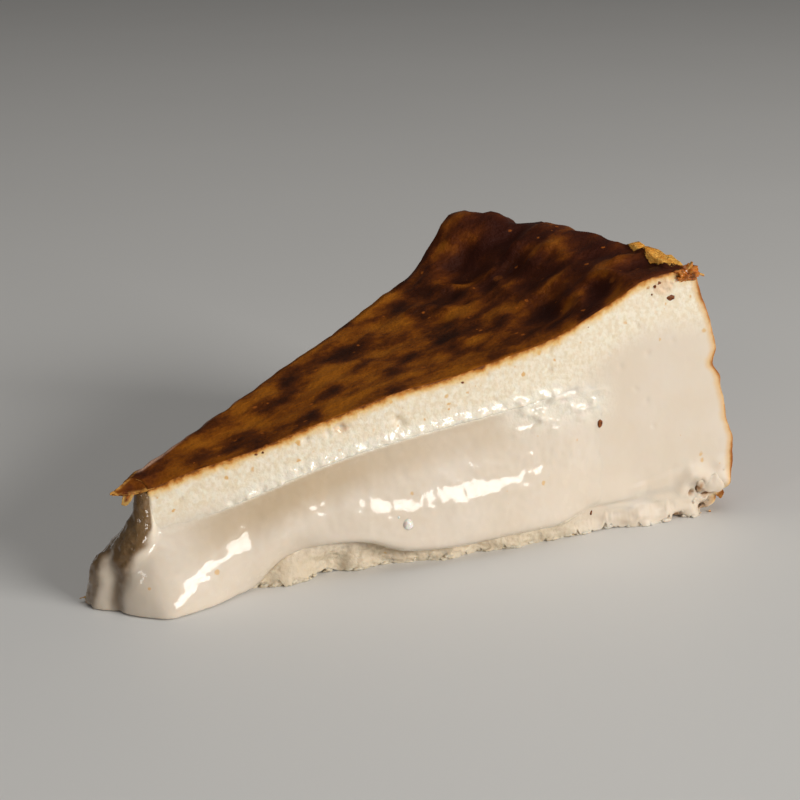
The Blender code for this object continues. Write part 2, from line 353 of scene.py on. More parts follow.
FOOT_SWELL = (0.0062, 0.0036, 0.0040, 0.0009)
FOLD_DEPTH = 0.0006
FAR_BELLY_SHARE = 0.85
CORE_START = -0.0016
CORE_END = 0.0985
FRONT_LENGTH = 0.0080
FRONT_TOP_LENGTH = 0.0070
END_LENGTH = 0.006
LEAST_HALF_WIDTH = 0.0009
EDGE_START = 0.0002
LAP = 0.0018
print("the belly stands out", round(1000 * max(depth for _, depth in BELLY), 1), "mm at most")


# %% Where the runny surface lies
@lru_cache(maxsize=8)
def seams(radius):
    """Lower and upper edge of the runny centre, which close in at both of its ends."""
    low = curve(SEAM_BELOW, radius)
    high = curve(SEAM_ABOVE, radius) * rounded(CORE_START - EDGE_START, FRONT_TOP_LENGTH, radius)
    end = rounded(-CORE_END - EDGE_START, END_LENGTH, -radius)
    middle = (low + high) / 2
    return middle + (low - middle) * end, middle + (high - middle) * end


def bulge(side, radius, height):
    """How far the runny centre stands out of a cut face."""
    low, high = seams(radius)
    up = min(max((height - low) / max(high - low, 1e-5), 0.0), 1.0)
    shape = curve(SHAPES[0][1], up)
    for (start, _), (end, points) in zip(SHAPES, SHAPES[1:]):
        shape += (curve(points, up) - shape) * ease(start, end, radius)
    at, wide, tall, depth = FOOT_SWELL
    swell = depth * hump(at, wide, radius) * hump(0.0, tall, height) + FOLD_DEPTH * fold(radius, height)
    return (curve(BELLY, radius) * shape + swell) * (FAR_BELLY_SHARE if side > 0.0 else 1.0)


def fold(radius, height):
    """Two soft folds at the lower right: cream that slid over the foot, and a ledge under it."""
    above = height - 0.0053
    slid = span(0.085, 0.089, 0.093, 0.099, radius) * ease(-0.0004, 0.0004, above)
    under = 0.0081 + 0.21 * (radius - 0.0965) - height
    ledge = span(0.094, 0.098, 0.103, 0.107, radius) * ease(-0.0002, 0.0006, under)
    return slid * fade(0.0005, 0.0060, above) + 0.8 * ledge * fade(0.0006, 0.0042, under)


def lip_along(radius):
    """Where along the upper seam the wet lip runs."""
    return span(0.013, 0.022, 0.072, 0.086, radius)


def sunk(radius, over):
    """How far the runny surface dips under the firm one: beyond the seam, and slowly at the rim."""
    hung = lip_along(radius)
    meets = -0.00022 * hung * span(-0.0014, -0.0003, -0.0001, 0.0005, over)
    dips = 0.00012 * (hung * ease(0.0, 0.0006, over) + (1.0 - hung) * ease(-0.0010, LAP, over))
    return meets + dips + 0.0001 * ease(0.0006, LAP, over) + 0.00022 * ease(0.082, 0.0975, radius)


def core_point(along, share, up):
    """Maps the unit block onto the runny centre, from its front on the table to the rim."""
    radius = CORE_START + along**1.3 * (CORE_END - CORE_START)
    low, high = seams(radius)
    side = math.copysign(1.0, share)
    height = low + up * (high + LAP * ease(0.004, 0.008, radius) - low)
    depth = bulge(side, radius, height) - sunk(radius, height - high)
    front = rounded(CORE_START - EDGE_START, FRONT_LENGTH, radius)
    half = max(radius * math.sin(HALF_ANGLE), LEAST_HALF_WIDTH)
    point = place(radius, share * HALF_ANGLE, height)
    point.y = share * half * front
    return point + out_of_face(side) * depth * front * abs(share) ** 3


print("the runny centre is", round(1000 * (CORE_END - CORE_START), 1), "mm long")


# %% [markdown]
# ## A block to shape
# Both custards start as the same thing: a cube cut into a grid, whose points are then moved to
# where a function puts them. That keeps the mesh closed and even, and the form stays in the
# function. A loft through drawn sections would do the same with many more curves to keep.

# %% Blocks and modifiers
def unit_block(cuts):
    """A cube from 0 to 1 along X and Z and from -1 to 1 along Y, cut into a grid."""
    bm = bmesh.new()
    bmesh.ops.create_cube(bm, size=1.0)
    for axis, count in enumerate(cuts):
        edges = [e for e in bm.edges if abs(e.verts[0].co[axis] - e.verts[1].co[axis]) > 0.5]
        bmesh.ops.subdivide_edges(bm, edges=edges, cuts=count, use_grid_fill=True)
    for v in bm.verts:
        v.co = Vector((v.co.x + 0.5, 2.0 * v.co.y, v.co.z + 0.5))
    return bm


def shaped_block(cuts, shape):
    """The unit block with each of its points moved to shape(along, share, up)."""
    bm = unit_block(cuts)
    for v in bm.verts:
        v.co = shape(round(v.co.x, 6), round(v.co.y, 6), round(v.co.z, 6))
    bm.normal_update()
    return bm


def applied(obj):
    """Makes the object's modifiers part of its mesh."""
    graph = bpy.context.evaluated_depsgraph_get()
    mesh = bpy.data.meshes.new_from_object(obj.evaluated_get(graph))
    obj.modifiers.clear()
    obj.data = mesh
    return obj


def triangles(obj):
    """How many triangles the object's faces make."""
    return sum(len(p.vertices) - 2 for p in obj.data.polygons)


sample = unit_block((2, 2, 2))
print("a block with two cuts each way has", len(sample.faces), "faces")
sample.free()

# %% [markdown]
# ## The runny centre
# A block bent to the seams gives its body, a mound makes the part that ran round the point,
# and two round bodies follow the throat and the shoulder between them. A voxel remesh fuses
# them as liquid does, and a few rounds of smoothing take away the steps of the voxels. It
# could be sculpted as well, but these few numbers are easier to measure and to change.

# %% Body, mound and throat
POINT_LOBE = (0.0024, 0.0044, 0.0073, 0.0061, 0.0122, 1.4)
SHOULDER = ((0.0004, 0.0034, 0.0098), (-0.0006, 0.0044, 0.0075), (-0.0010, 0.0050, 0.0040))
SHOULDER_WIDTHS = ((0.0, 0.0014), (0.35, 0.0026), (1.0, 0.0030))
THROAT_ACROSS = 1.25
THROAT = (
    (0.0043, -0.0001, 0.0208), (0.0043, -0.0001, 0.0180), (0.0039, 0.0001, 0.0148),
    (0.0029, 0.0007, 0.0115), (0.0017, 0.0020, 0.0060),
)
THROAT_WIDTHS = (
    (0.0, 0.0011), (0.15, 0.0014), (0.35, 0.0016), (0.6, 0.0026), (0.8, 0.0034), (1.0, 0.0040),
)
RUNNY_CUTS = (200, 16, 48)
VOXEL = 0.00042


def mound(x, y, length, width, height, power):
    """A mound with a flat foot on the table and a rounded outline."""
    bm = bmesh.new()
    bmesh.ops.create_uvsphere(bm, u_segments=72, v_segments=48, radius=1.0)
    for v in bm.verts:
        reach = min(1.0, math.hypot(v.co.x, v.co.y))
        rise = (1.0 - reach**power) ** (1.0 / power) if v.co.z > 1e-5 else 0.0
        v.co = Vector((POINT_X + x + length * v.co.x, y + width * v.co.y, height * rise))
    bmesh.ops.remove_doubles(bm, verts=bm.verts, dist=1e-5)
    return bm


def on_path(path, along):
    """A point on the smooth line through the points of a path, 0 at its start and 1 at its end."""
    last = len(path) - 1
    lines = [[(i / last, point[axis]) for i, point in enumerate(path)] for axis in range(3)]
    return Vector([curve(line, along) for line in lines])


def sausage(path, radii, across=1.0):
    """A round body that follows a path from the wedge's point, with blunt ends."""
    path = [Vector(point) + Vector((POINT_X, 0.0, 0.0)) for point in path]
    bm = bmesh.new()
    bmesh.ops.create_uvsphere(bm, u_segments=32, v_segments=40, radius=1.0)
    for v in bm.verts:
        along = (1.0 - v.co.z) / 2.0
        reach = Vector((v.co.x, across * v.co.y, 0.0)) / max(0.5, math.hypot(v.co.x, v.co.y))
        v.co = on_path(path, along) + reach * curve(radii, along)
    return bm


runny = new_object("runny_custard", shaped_block(RUNNY_CUTS, core_point))
lobe = new_object("lobe", mound(*POINT_LOBE))
throat = new_object("throat", sausage(THROAT, THROAT_WIDTHS, THROAT_ACROSS))
shoulder = new_object("shoulder", sausage(SHOULDER, SHOULDER_WIDTHS))
for part in (lobe, throat, shoulder):
    join = runny.modifiers.new("join", "BOOLEAN")
    join.operation = "UNION"
    join.solver = "MANIFOLD"
    join.object = part
remesh = runny.modifiers.new("remesh", "REMESH")
remesh.mode = "VOXEL"
remesh.voxel_size = VOXEL
applied(runny)
for part in (lobe, throat, shoulder):
    bpy.data.objects.remove(part, do_unlink=True)
print("runny centre:", len(runny.data.vertices), "points after the remesh")

# %% [markdown]
# ## The liquid surface
# Smoothing draws the body in a little, so each point goes back onto the curve it was made
# from. Then come the small forms: slow waves, the ripples that the knife dragged, and the
# juice that ran down the throat and between the two lobes. Real relief of this kind bends the
# long highlights, which a bump in the finish alone would only roughen.

# %% Back onto the curve
def settle_on_face(point):
    """Puts a smoothed point back on the surface that it was made from, away from the point."""
    radius, share = polar(point)
    side = math.copysign(1.0, share)
    out = out_of_face(side)
    start = along_face(side, 0.0, 0.0)
    outward = (point - start).dot(out)
    along = (point - start).dot(along_face(side, 1.0, 0.0) - start)
    low, high = seams(along)
    if outward < -0.0010 or point.z < low + 0.0004 or point.z > high + LAP - 0.0006:
        return point
    target = bulge(side, along, point.z) - sunk(along, point.z - high)
    at_top = ease(0.007, 0.011, along) * ease(0.0095, 0.0120, point.z)
    weight = max(ease(0.016, 0.024, along) * ease(low, low + 0.0016, point.z), at_top)
    return point + out * (target - outward) * weight


print("the lip begins", round(1000 * seams(0.050)[1], 1), "mm above the table, 50 mm from the point")


# %% Ripples and juice
# Paths of the brown syrup at the point. The second runs down the far side of the mound, where the brown is partly
# painted shade.
JUICE_AND_SHADE_LINES = (
    ((-0.0553, 0.0, 0.0200), (-0.0557, -0.0003, 0.0150), (-0.0583, -0.0006, 0.0126),
     (-0.0606, -0.0004, 0.0102), (-0.0606, -0.0005, 0.0078), (-0.0602, -0.0007, 0.0052),
     (-0.0612, -0.0003, 0.0016)),
    ((-0.0602, 0.0046, 0.0110), (-0.0632, 0.0046, 0.0064), (-0.0648, 0.0046, 0.0010)),
)
SYRUP_SHADE_PATHS = [[Vector(point) for point in line] for line in JUICE_AND_SHADE_LINES]
WORM_HEIGHT = 0.0009


def worms(radius, height):
    """Worm-like ripples where the cream was dragged by the knife, near the end of the lip."""
    across = span(0.068, 0.074, 0.086, 0.092, radius)
    spot = Vector((0.50 * radius, height, 0.0))
    drops = rough(spot, 0.0014, 13.0) + 0.40 * rough(spot, 0.0007, 14.0)
    return across * hump(0.0252, 0.0034, height) * (0.35 * drops + max(0.0, drops))


def syrup_and_shade(point):
    """How much brown syrup covers a point, partly as painted shade: crisp on the throat, soft between the two
    lobes.
    """
    high_up = ease(0.0095, 0.0125, point.z)
    upper = ease(0.0085, 0.0120, point.z)
    start, end = 0.0007 + 0.0023 * upper, 0.0030 + 0.0014 * upper
    cover = 0.0
    for line in SYRUP_SHADE_PATHS:
        away = min(to_segment(point, a, b) for a, b in zip(line, line[1:]))
        away += 0.0006 * rough(point, 0.0026, 31.0)
        cover = max(cover, fade(start, end, away))
    bare = high_up * ease(0.0035 + 0.0014 * ease(0.0125, 0.0145, point.z), 0.0054, polar(point)[0])
    return cover * (0.75 + 0.25 * ease(0.003, 0.009, point.z)) * (1.0 - bare)


def to_segment(point, start, end):
    """How far a point is from a segment."""
    along = min(max((point - start).dot(end - start) / (end - start).length_squared, 0.0), 1.0)
    return (point - start - along * (end - start)).length


def ripple(point):
    """How far the runny surface swells at a point, in metres."""
    radius, _ = polar(point)
    upright = Vector((point.x, point.y, 0.45 * point.z))
    drawn = span(0.068, 0.076, 0.084, 0.092, radius)
    drawn *= hump(0.0160, 0.0032, point.z)
    wormy = drawn * (0.7 * rough(upright, 0.0013, 13.0) + 0.6 * rough(upright, 0.0007, 14.0))
    calm = 1.0 - 0.75 * ease(0.030, 0.045, radius)
    slow = calm * 0.00016 * rough(point, 0.009, 11.0) + 0.00008 * rough(point, 0.0030, 12.0)
    fine = 0.00004 * rough(point, 0.0012, 15.0)
    sticky = syrup_and_shade(point) * (0.00030 * rough(point, 0.0017, 18.0) + 0.00020 * rough(point, 0.0008, 19.0))
    return slow + fine + 0.00013 * wormy + WORM_HEIGHT * worms(radius, point.z) + sticky


print("the juice runs in", len(SYRUP_SHADE_PATHS), "lines")

# %% Smooth and ripple
SMOOTH_ROUNDS = 9


def smooth(bm, rounds):
    """Moves every point halfway to its neighbours, this many times."""
    for _ in range(rounds):
        bmesh.ops.smooth_vert(
            bm, verts=bm.verts, factor=0.5, use_axis_x=True, use_axis_y=True, use_axis_z=True
        )


bm = bmesh.new()
bm.from_mesh(runny.data)
smooth(bm, SMOOTH_ROUNDS)
for v in bm.verts:
    v.co = settle_on_face(v.co)
smooth(bm, 1)
bm.normal_update()
for v, normal in [(v, v.normal.copy()) for v in bm.verts]:
    v.co += normal * ripple(v.co)
    v.co.z = max(v.co.z, 0.00005)
bm.to_mesh(runny.data)
bm.free()
runny.data.shade_smooth()
print("runny centre: highest point", round(1000 * max(v.co.z for v in runny.data.vertices), 1), "mm")

# %% [markdown]
# ## The firm custard
# The same kind of block makes the firm part, now with far more cuts. Its cut faces are pushed
# in and out: fine curds, pits, the wet lip along the upper seam, and a ragged foot that
# crumbled when the slice was lifted. Inside the seams the face steps back, so that the runny
# surface shows there.

# %% Foot, pits and dimples
FOOT_OUT = (
    (0.020, 0.0004), (0.0245, 0.0002), (0.028, 0.0018), (0.0315, 0.0014), (0.0345, -0.0010),
    (0.038, -0.0016), (0.041, -0.0004), (0.0455, -0.0009), (0.050, -0.0002), (0.057, 0.0012),
    (0.065, 0.0005), (0.0726, 0.0011), (0.081, 0.0006), (0.087, -0.0004), (0.0925, 0.0002),
    (0.098, 0.0012), (0.102, 0.0008), (0.106, -0.0006), (0.109, 0.0), (0.112, -0.0015),
    (0.115, -0.0005),
)
FOOT_LIFT = (
    (0.020, 0.0), (0.033, 0.0), (0.036, 0.0008), (0.039, 0.0), (0.086, 0.0), (0.090, 0.0003),
    (0.096, 0.0), (0.103, 0.0), (0.106, 0.0006), (0.109, 0.0), (0.112, 0.0009), (0.116, 0.0010),
)
FOOT_HEIGHT = 0.0055
PIT_DEPTH, DIMPLE_DEPTH = 0.0006, 0.00018
PITS = (
    (0.0391, 0.0268, 0.0009), (0.0504, 0.0261, 0.0009), (0.0495, 0.0271, 0.0006), (0.0329, 0.0255, 0.0005),
)
DIMPLES = (
    (0.0930, 0.0312, 0.0008), (0.0985, 0.0330, 0.0007), (0.0962, 0.0265, 0.0006),
    (0.0985, 0.0240, 0.0007), (0.0945, 0.0362, 0.0008), (0.1035, 0.0350, 0.0006),
    (0.1000, 0.0190, 0.0006), (0.0905, 0.0338, 0.0005),
)
print("foot:", len(FOOT_OUT), "points, with", len(PITS), "pits and", len(DIMPLES), "dimples higher up")


# %% Wet lip and curds
LIP_OUT = 0.00062


def lip(radius, height):
    """How much a spot of the cut face belongs to the wet lip along the upper seam."""
    over = height - seams(radius)[1]
    return lip_along(radius) * fade(0.0001, 0.0022, over) * ease(-0.0004, 0.0003, over)


def wetness(radius, height):
    """How wet a spot of the cut face is: the lip, and the dragged cream at its end."""
    over = height - seams(radius)[1]
    along = span(0.013, 0.022, 0.076, 0.088, radius)
    beaded = along * fade(0.0016, 0.0028, over) * ease(-0.0005, 0.0, over)
    dragged = span(0.067, 0.074, 0.088, 0.094, radius)
    return max(beaded, dragged * hump(0.0252, 0.0036, height))


def curdled(radius, height):
    """How grainy the cut face is: curds under the skin, smooth cream lower down at the rim."""
    depth = curve(SKIN_NEAR, radius) - height
    high = seams(radius)[1]
    soft = fade(0.020, 0.028, radius)
    band = ease(-0.0004 - 0.0016 * soft, 0.0016 + 0.0022 * soft, height - high)
    near_skin = fade(0.006, 0.013, depth)
    smooth_rim = ease(0.078, 0.092, radius)
    return max(band + (near_skin - band) * smooth_rim, 0.0)


def crumbling(radius, height):
    """How crumbly the cut face is at its foot; in the finish the same mask also paints shade under the bulge."""
    low_down = fade(0.0035, 0.0075, height)
    return low_down * ease(0.018, 0.023, radius) * (1.0 - 0.9 * ease(0.078, 0.090, radius))


print("the wet lip stands", 1000 * LIP_OUT, "mm proud")

# %% Gaps and glassy spots
CAVITIES = (
    (0.1099, 0.0057, 0.0004, 0.0012), (0.1085, 0.0046, 0.0004, 0.0005),
    (0.1119, 0.0039, 0.0012, 0.0004), (0.1112, 0.0008, 0.0010, 0.0010),
    (0.1150, 0.0028, 0.0008, 0.0007), (0.1053, 0.0005, 0.0008, 0.0006),
)


def cavity(radius, height):
    """The gaps between the broken pieces of the near corner: dents in the face, and painted amber shade in the
    finish.
    """
    bent = 0.0003 * rough(Vector((radius, height, 0.0)), 0.0012, 23.0)
    spots = (
        math.hypot((radius + bent - r) / wide, (height + bent - h) / tall) for r, h, wide, tall in CAVITIES
    )
    return hump(0.0, 1.0, min(spots))


GLAZES = ((0.1016, 0.0452, 0.0024, 0.0016), (0.0393, 0.0267, 0.0014, 0.0010))


def glaze(radius, height):
    """Where a little syrup dried on the cut face and left it glassy and wrinkled."""
    bent = 0.3 * rough(Vector((radius, height, 0.0)), 0.0020, 35.0)
    spots = (math.hypot((radius - r) / wide, (height - h) / tall) for r, h, wide, tall in GLAZES)
    return fade(0.75, 1.1, min(spots) + bent)


print("gaps:", len(CAVITIES), "glassy spots:", len(GLAZES))


# %% Relief of the cut faces
def recess(side, radius, height):
    """How far the firm face steps back behind the runny centre; at the rim it follows the swell."""
    low, high = seams(radius)
    inside = ease(low + 0.0001, low + 0.0009, height) * ease(-high, -high + 0.0008, -height)
    deep = 0.0013 * inside * span(0.014, 0.022, 0.068, 0.080, radius)
    shallow = 0.00030 * fade(0.080, 0.094, radius) * ease(-high - 0.0002, -high + 0.0014, -height)
    follows = ease(0.074, 0.082, radius) * ease(0.0, low + 0.0005, height)
    return deep + shallow * ease(low, low + 0.0012, height) - bulge(side, radius, height) * follows


def face_relief(side, radius, height):
    """How far the cut face of the firm custard stands out of its plane."""
    spot = Vector((radius, height, side * 0.1))
    grainy = curdled(radius, height)
    curds = 0.00005 * rough(spot, 0.0021, 5.0) + 0.00004 * rough(spot, 0.0010, 6.0)
    pitted = -0.0009 * max(0.0, rough(spot, 0.0019, 9.0) - 0.45)
    relief = (curds + pitted) * (0.12 + 0.88 * grainy)
    relief += 0.00010 * rough(spot, 0.006, 10.0) * ease(0.092, 0.100, radius)
    livelier = 1.9 - 0.9 * ease(0.030, 0.052, radius)
    beads = 0.95 + livelier * (0.50 * rough(spot, 0.0017, 7.0) + 0.35 * rough(spot, 0.0009, 8.0))
    relief += LIP_OUT * lip(radius, height) * max(beads, -0.1)
    relief += 0.0006 * glaze(radius, height) * rough(spot, 0.0008, 36.0)
    relief += WORM_HEIGHT * worms(radius, height) - recess(side, radius, height)
    for dents, depth, spread in ((PITS, PIT_DEPTH, 1.0), (DIMPLES, DIMPLE_DEPTH, 0.7)):
        for at_radius, at_height, size in dents:
            relief -= depth * hump(0.0, spread * size, math.hypot(radius - at_radius, height - at_height))
    at_foot = fade(0.0012, FOOT_HEIGHT, height)
    layered = Vector((0.6 * radius, height, side * 0.1))
    lumps = 0.0009 * rough(layered, 0.0028, 7.0) + 0.0003 * rough(layered, 0.0012, 3.0)
    relief += at_foot * (lumps + curve(FOOT_OUT, radius))
    corner = ease(0.104, 0.108, radius) * fade(0.008, 0.012, height)
    relief += corner * (0.0006 + 0.0011 * rough(spot, 0.0030, 17.0)) - 0.0018 * cavity(radius, height)
    return relief


print("the foot stands", round(1000 * face_relief(NEAR, 0.057, 0.001), 2), "mm out, 57 mm from the point")

# %% [markdown]
# ## The block of firm custard
# The cut faces and the skin now come together in one block. Where the skin is torn off the
# rim it lifts a little, and on the far face it hangs over the cut, as the knife pulled it.

# %% Firm block
TORN = (-0.90, -0.38)
TORN_LIFT = 0.0011


def torn(radius, share):
    """Where the skin is torn off the rim and yellow custard shows."""
    along = span(TORN[0], TORN[0] + 0.08, TORN[1] - 0.06, TORN[1], share)
    wavy = 0.0007 * rough(Vector((0.1 * share, 0.0, 0.0)), 0.006, 33.0)
    edge = 0.1035 + 0.0067 * max(0.0, share + 0.7) + wavy
    return along * ease(edge - 0.0004, edge + 0.0004, radius)


NOSE_RADIUS = 0.0048
SKIN_THICKNESS = 0.0007
OVERHANG = ((0.0, 0.0021), (0.010, 0.0018), (0.020, 0.0013), (0.042, 0.0009), (0.060, 0.0001), (0.070, 0.0))
FIRM_CUTS = (299, 37, 103)


def firm_point(along, share, up):
    """Maps the unit block onto the firm custard: along its radius, across its angle and up."""
    angle = share * HALF_ANGLE
    rim_height = top_height(RIM_RADIUS, share)
    outer = wall_radius(up * rim_height, angle)
    radius = NOSE_RADIUS + along * (outer - NOSE_RADIUS)
    skin_radius = NOSE_RADIUS + along * (RIM_RADIUS - NOSE_RADIUS)
    skin = top_height(skin_radius, share)
    height = up * skin
    point = place(radius, angle, height)
    side = math.copysign(1.0, share)
    at_face = abs(share) ** 6
    if at_face > 0.01:
        point += out_of_face(side) * face_relief(side, radius, height) * at_face
    point.z += up**8 * (skin_relief(skin_radius, share) + TORN_LIFT * torn(skin_radius, share))
    if share > 0.5:
        thin = fade(0.6 * SKIN_THICKNESS, SKIN_THICKNESS, skin - height)
        reach = curve(OVERHANG, skin_radius) * (1.0 + 0.35 * rough(point, 0.0030, 41.0))
        point += out_of_face(FAR) * reach * thin * ease(0.5, 1.0, share)
    if up < 0.15 and at_face > 0.3:
        lift = curve(FOOT_LIFT, radius) + 0.0007 * max(0.0, rough(point, 0.0022, 21.0))
        point.z += lift * (1.0 - up / 0.15) * at_face
    return point


firm = new_object("baked_custard", shaped_block(FIRM_CUTS, firm_point))
print("firm custard:", len(firm.data.vertices), "points")

# %% [markdown]
# ## The hollow
# The firm part is hollow where the runny centre sits. The hollow stays two millimetres inside
# the surface of the centre, so no gap shows where the two meet, and the firm wall behind the
# seam is thick enough for light to scatter in it evenly.

# %% Cut the hollow
HOLLOW_REACH = (0.010, 0.080)
HOLLOW_MARGIN = 0.0022
HOLLOW_WIDTH = 0.72
HOLLOW_CUTS = (24, 4, 4)


def hollow_point(along, share, up):
    """Maps the unit block onto the hollow, inside the runny centre."""
    radius = HOLLOW_REACH[0] + along * (HOLLOW_REACH[1] - HOLLOW_REACH[0])
    low, high = seams(radius)
    low, high = low + HOLLOW_MARGIN, high - HOLLOW_MARGIN
    return place(radius, HOLLOW_WIDTH * share * HALF_ANGLE, low + up * (high - low))


hollow = new_object("hollow", shaped_block(HOLLOW_CUTS, hollow_point))
cut = firm.modifiers.new("cut", "BOOLEAN")
cut.operation = "DIFFERENCE"
cut.solver = "MANIFOLD"
cut.object = hollow
applied(firm)
bpy.data.objects.remove(hollow, do_unlink=True)
print("firm custard:", triangles(firm), "triangles")

# %% [markdown]
# ## The crumbled foot
# The baker's paper pulled at the foot, so it is made of ragged flakes in level layers. They
# are finer than the grid of the firm block can carry. A strip along each cut face has a grid of
# its own, follows the foot underneath it, and dives back into the face at its upper edge.

# %% Strips of flakes
FOOT_REACH = (0.0205, 0.1128)
FOOT_CUTS = (459, 1, 27)


def flakes(radius, height, side):
    """Ragged layers: sharp ridges of folded noise, drawn out along the foot."""
    spot = Vector((0.35 * radius, height, 0.2 * side))
    layers = 0.30 - 1.6 * abs(rough(spot, 0.0013, 71.0)) - 0.7 * abs(rough(spot, 0.0006, 72.0))
    layered = span(0.030, 0.036, 0.060, 0.068, radius)
    calm = 1.0 - 0.8 * ease(0.078, 0.088, radius)
    grit = 0.00014 * rough(Vector((radius, height, side)), 0.0008, 73.0)
    return calm * ((0.00014 + 0.00026 * layered) * layers + grit)


def strip_point(side):
    """Maps the unit block onto the strip of one cut face; share is 1 on its outside."""
    def shape(along, share, up):
        radius = FOOT_REACH[0] + along * (FOOT_REACH[1] - FOOT_REACH[0])
        top = curve(SEAM_BELOW, radius) + 0.0012 + 0.0012 * ease(0.092, 0.100, radius)
        spot = Vector((radius, side, 0.0))
        notch = max(0.0, rough(spot, 0.0016, 74.0) + 0.8 * rough(spot, 0.0006, 75.0))
        low = curve(FOOT_LIFT, radius) + 0.0016 * notch
        height = low + up * (max(top, low + 0.0008) - low)
        if share < 0.5:
            return along_face(side, radius, height, -0.0022 + 0.0011 * (share + 1.0))
        ends = span(0.0, 0.02, 0.985, 1.0, along)
        merge = ease(0.12, 0.50, up) * ease(0.083, 0.090, radius)
        ragged = (0.00030 + flakes(radius, height, side)) * (1.0 - merge)
        dives = 0.00028 * ease(0.85, 1.0, up)
        depth = face_relief(side, radius, height) + ragged - dives - 0.0009 * (1.0 - ends)
        return along_face(side, radius, height, depth)
    return shape


def joined(meshes):
    """Puts several bmeshes into one."""
    whole = bmesh.new()
    for part in meshes:
        mesh = bpy.data.meshes.new("part")
        part.to_mesh(mesh)
        part.free()
        whole.from_mesh(mesh)
        bpy.data.meshes.remove(mesh)
    return whole


strips = []
for side in (NEAR, FAR):
    strip = shaped_block(FOOT_CUTS, strip_point(side))
    bmesh.ops.recalc_face_normals(strip, faces=strip.faces[:])
    strips.append(strip)
crumbled_foot = new_object("crumbled_foot", joined(strips))
crumbled_foot.data.shade_smooth()
print("crumbled foot:", triangles(crumbled_foot), "triangles")

# %% [markdown]
# ## Torn skin
# The knife tore the skin at the point, where two prongs hang over the front, and left curls at
# the near corner of the rim. Each is a thin patch between two border lines. A patch starts
# inside the skin, so that it grows out of it, and its far end is ragged.

# %% Patches of skin
PATCH_CUTS = (32, 16)


def skin_patch(left, right, thickness, ragged, seed, on_skin=False):
    """A thin patch of skin between two border paths, with a ragged end."""
    bm = bmesh.new()
    bmesh.ops.create_grid(bm, x_segments=PATCH_CUTS[0], y_segments=PATCH_CUTS[1], size=0.5)
    for v in bm.verts:
        along, across = v.co.x + 0.5, v.co.y + 0.5
        spot = on_path(left, along).lerp(on_path(right, along), across)
        before = on_path(left, along - 0.1).lerp(on_path(right, along - 0.1), across)
        width = (on_path(left, 0.8) - on_path(right, 0.8)).length
        tear = ragged * along**3 * (0.4 + rough(Vector((across * width, seed, 0.0)), 0.0011, seed))
        spot += (spot - before).normalized() * tear
        spot.z += 0.00016 * along * (rough(spot, 0.0013, seed) + 0.5 * rough(spot, 0.0006, seed))
        if on_skin:
            radius, share = polar(spot)
            share = min(share, 1.2)
            level = top_height(radius, share) + skin_relief(radius, share) - 0.00022 + 0.00042 * along
            spot.z += (level - spot.z) * fade(0.22, 0.50, along)
            frayed = rough(Vector((spot.x, across, 0.0)), 0.0009, seed)
            spot.y += 0.0004 * along * (2.0 * across - 1.0) * frayed
        v.co = spot
    bm.normal_update()
    outward = sum((f.normal * f.calc_area() for f in bm.faces), Vector()).normalized()
    made = bmesh.ops.extrude_face_region(bm, geom=bm.faces[:])["geom"]
    under = [v for v in made if isinstance(v, bmesh.types.BMVert)]
    bmesh.ops.translate(bm, vec=-thickness * outward, verts=under)
    bmesh.ops.recalc_face_normals(bm, faces=bm.faces[:])
    return bm


def millimetres(*points):
    """Points given in millimetres, as vectors in metres."""
    return [Vector(point) / 1000.0 for point in points]


print("a patch has", PATCH_CUTS[0] * PATCH_CUTS[1], "cells")

# %% Torn pieces
POINT_SKIN = (
    (((-51.8, 4.0, 21.0), (-54.4, 4.1, 21.9), (-57.0, 2.8, 21.5), (-59.3, 1.8, 20.9), (-60.9, 1.2, 20.5)),
     ((-51.8, -2.0, 20.2), (-54.6, -1.7, 20.8), (-56.4, -1.1, 20.3), (-58.2, 0.0, 20.1), (-60.3, 0.8, 20.2)),
     0.00030, 0.0010, 51, True),
)
TORN_SKIN = (
    (((-58.8, 0.6, 20.3), (-59.1, 0.7, 19.2), (-59.2, 0.9, 18.2)),
     ((-57.3, -0.6, 20.2), (-57.9, -0.3, 19.1), (-58.3, 0.1, 18.3)), 0.0004, 0.0005, 52),
    (((40.9, -31.2, 46.9), (41.3, -31.4, 48.2), (41.9, -31.7, 49.2)),
     ((42.5, -31.0, 46.9), (42.3, -31.4, 48.1), (42.1, -31.7, 49.1)), 0.0005, 0.0004, 54),
    (((41.8, -31.9, 46.6), (43.2, -32.2, 47.0), (44.7, -32.5, 46.7)),
     ((42.2, -31.2, 46.7), (43.4, -31.8, 47.1), (44.7, -32.2, 46.8)), 0.0004, 0.0003, 55),
    (((38.8, -30.3, 46.6), (39.8, -31.0, 47.7), (41.6, -31.8, 48.1)),
     ((41.6, -29.6, 46.6), (42.0, -30.6, 47.8), (42.6, -31.6, 48.0)), 0.0005, 0.0006, 56),
    (((-64.4, 6.0, 0.1), (-64.4, 6.5, 0.9), (-64.8, 7.0, 0.8)),
     ((-62.8, 6.3, 0.1), (-63.4, 6.9, 1.0), (-64.3, 7.2, 0.6)), 0.0003, 0.0006, 57),
)


def skin_piece(name, patches):
    """One object made of several patches, each given by its borders in millimetres."""
    made = [skin_patch(millimetres(*a), millimetres(*b), *rest) for a, b, *rest in patches]
    obj = new_object(name, joined(made))
    obj.data.shade_smooth()
    write_border(obj, patches)
    return obj


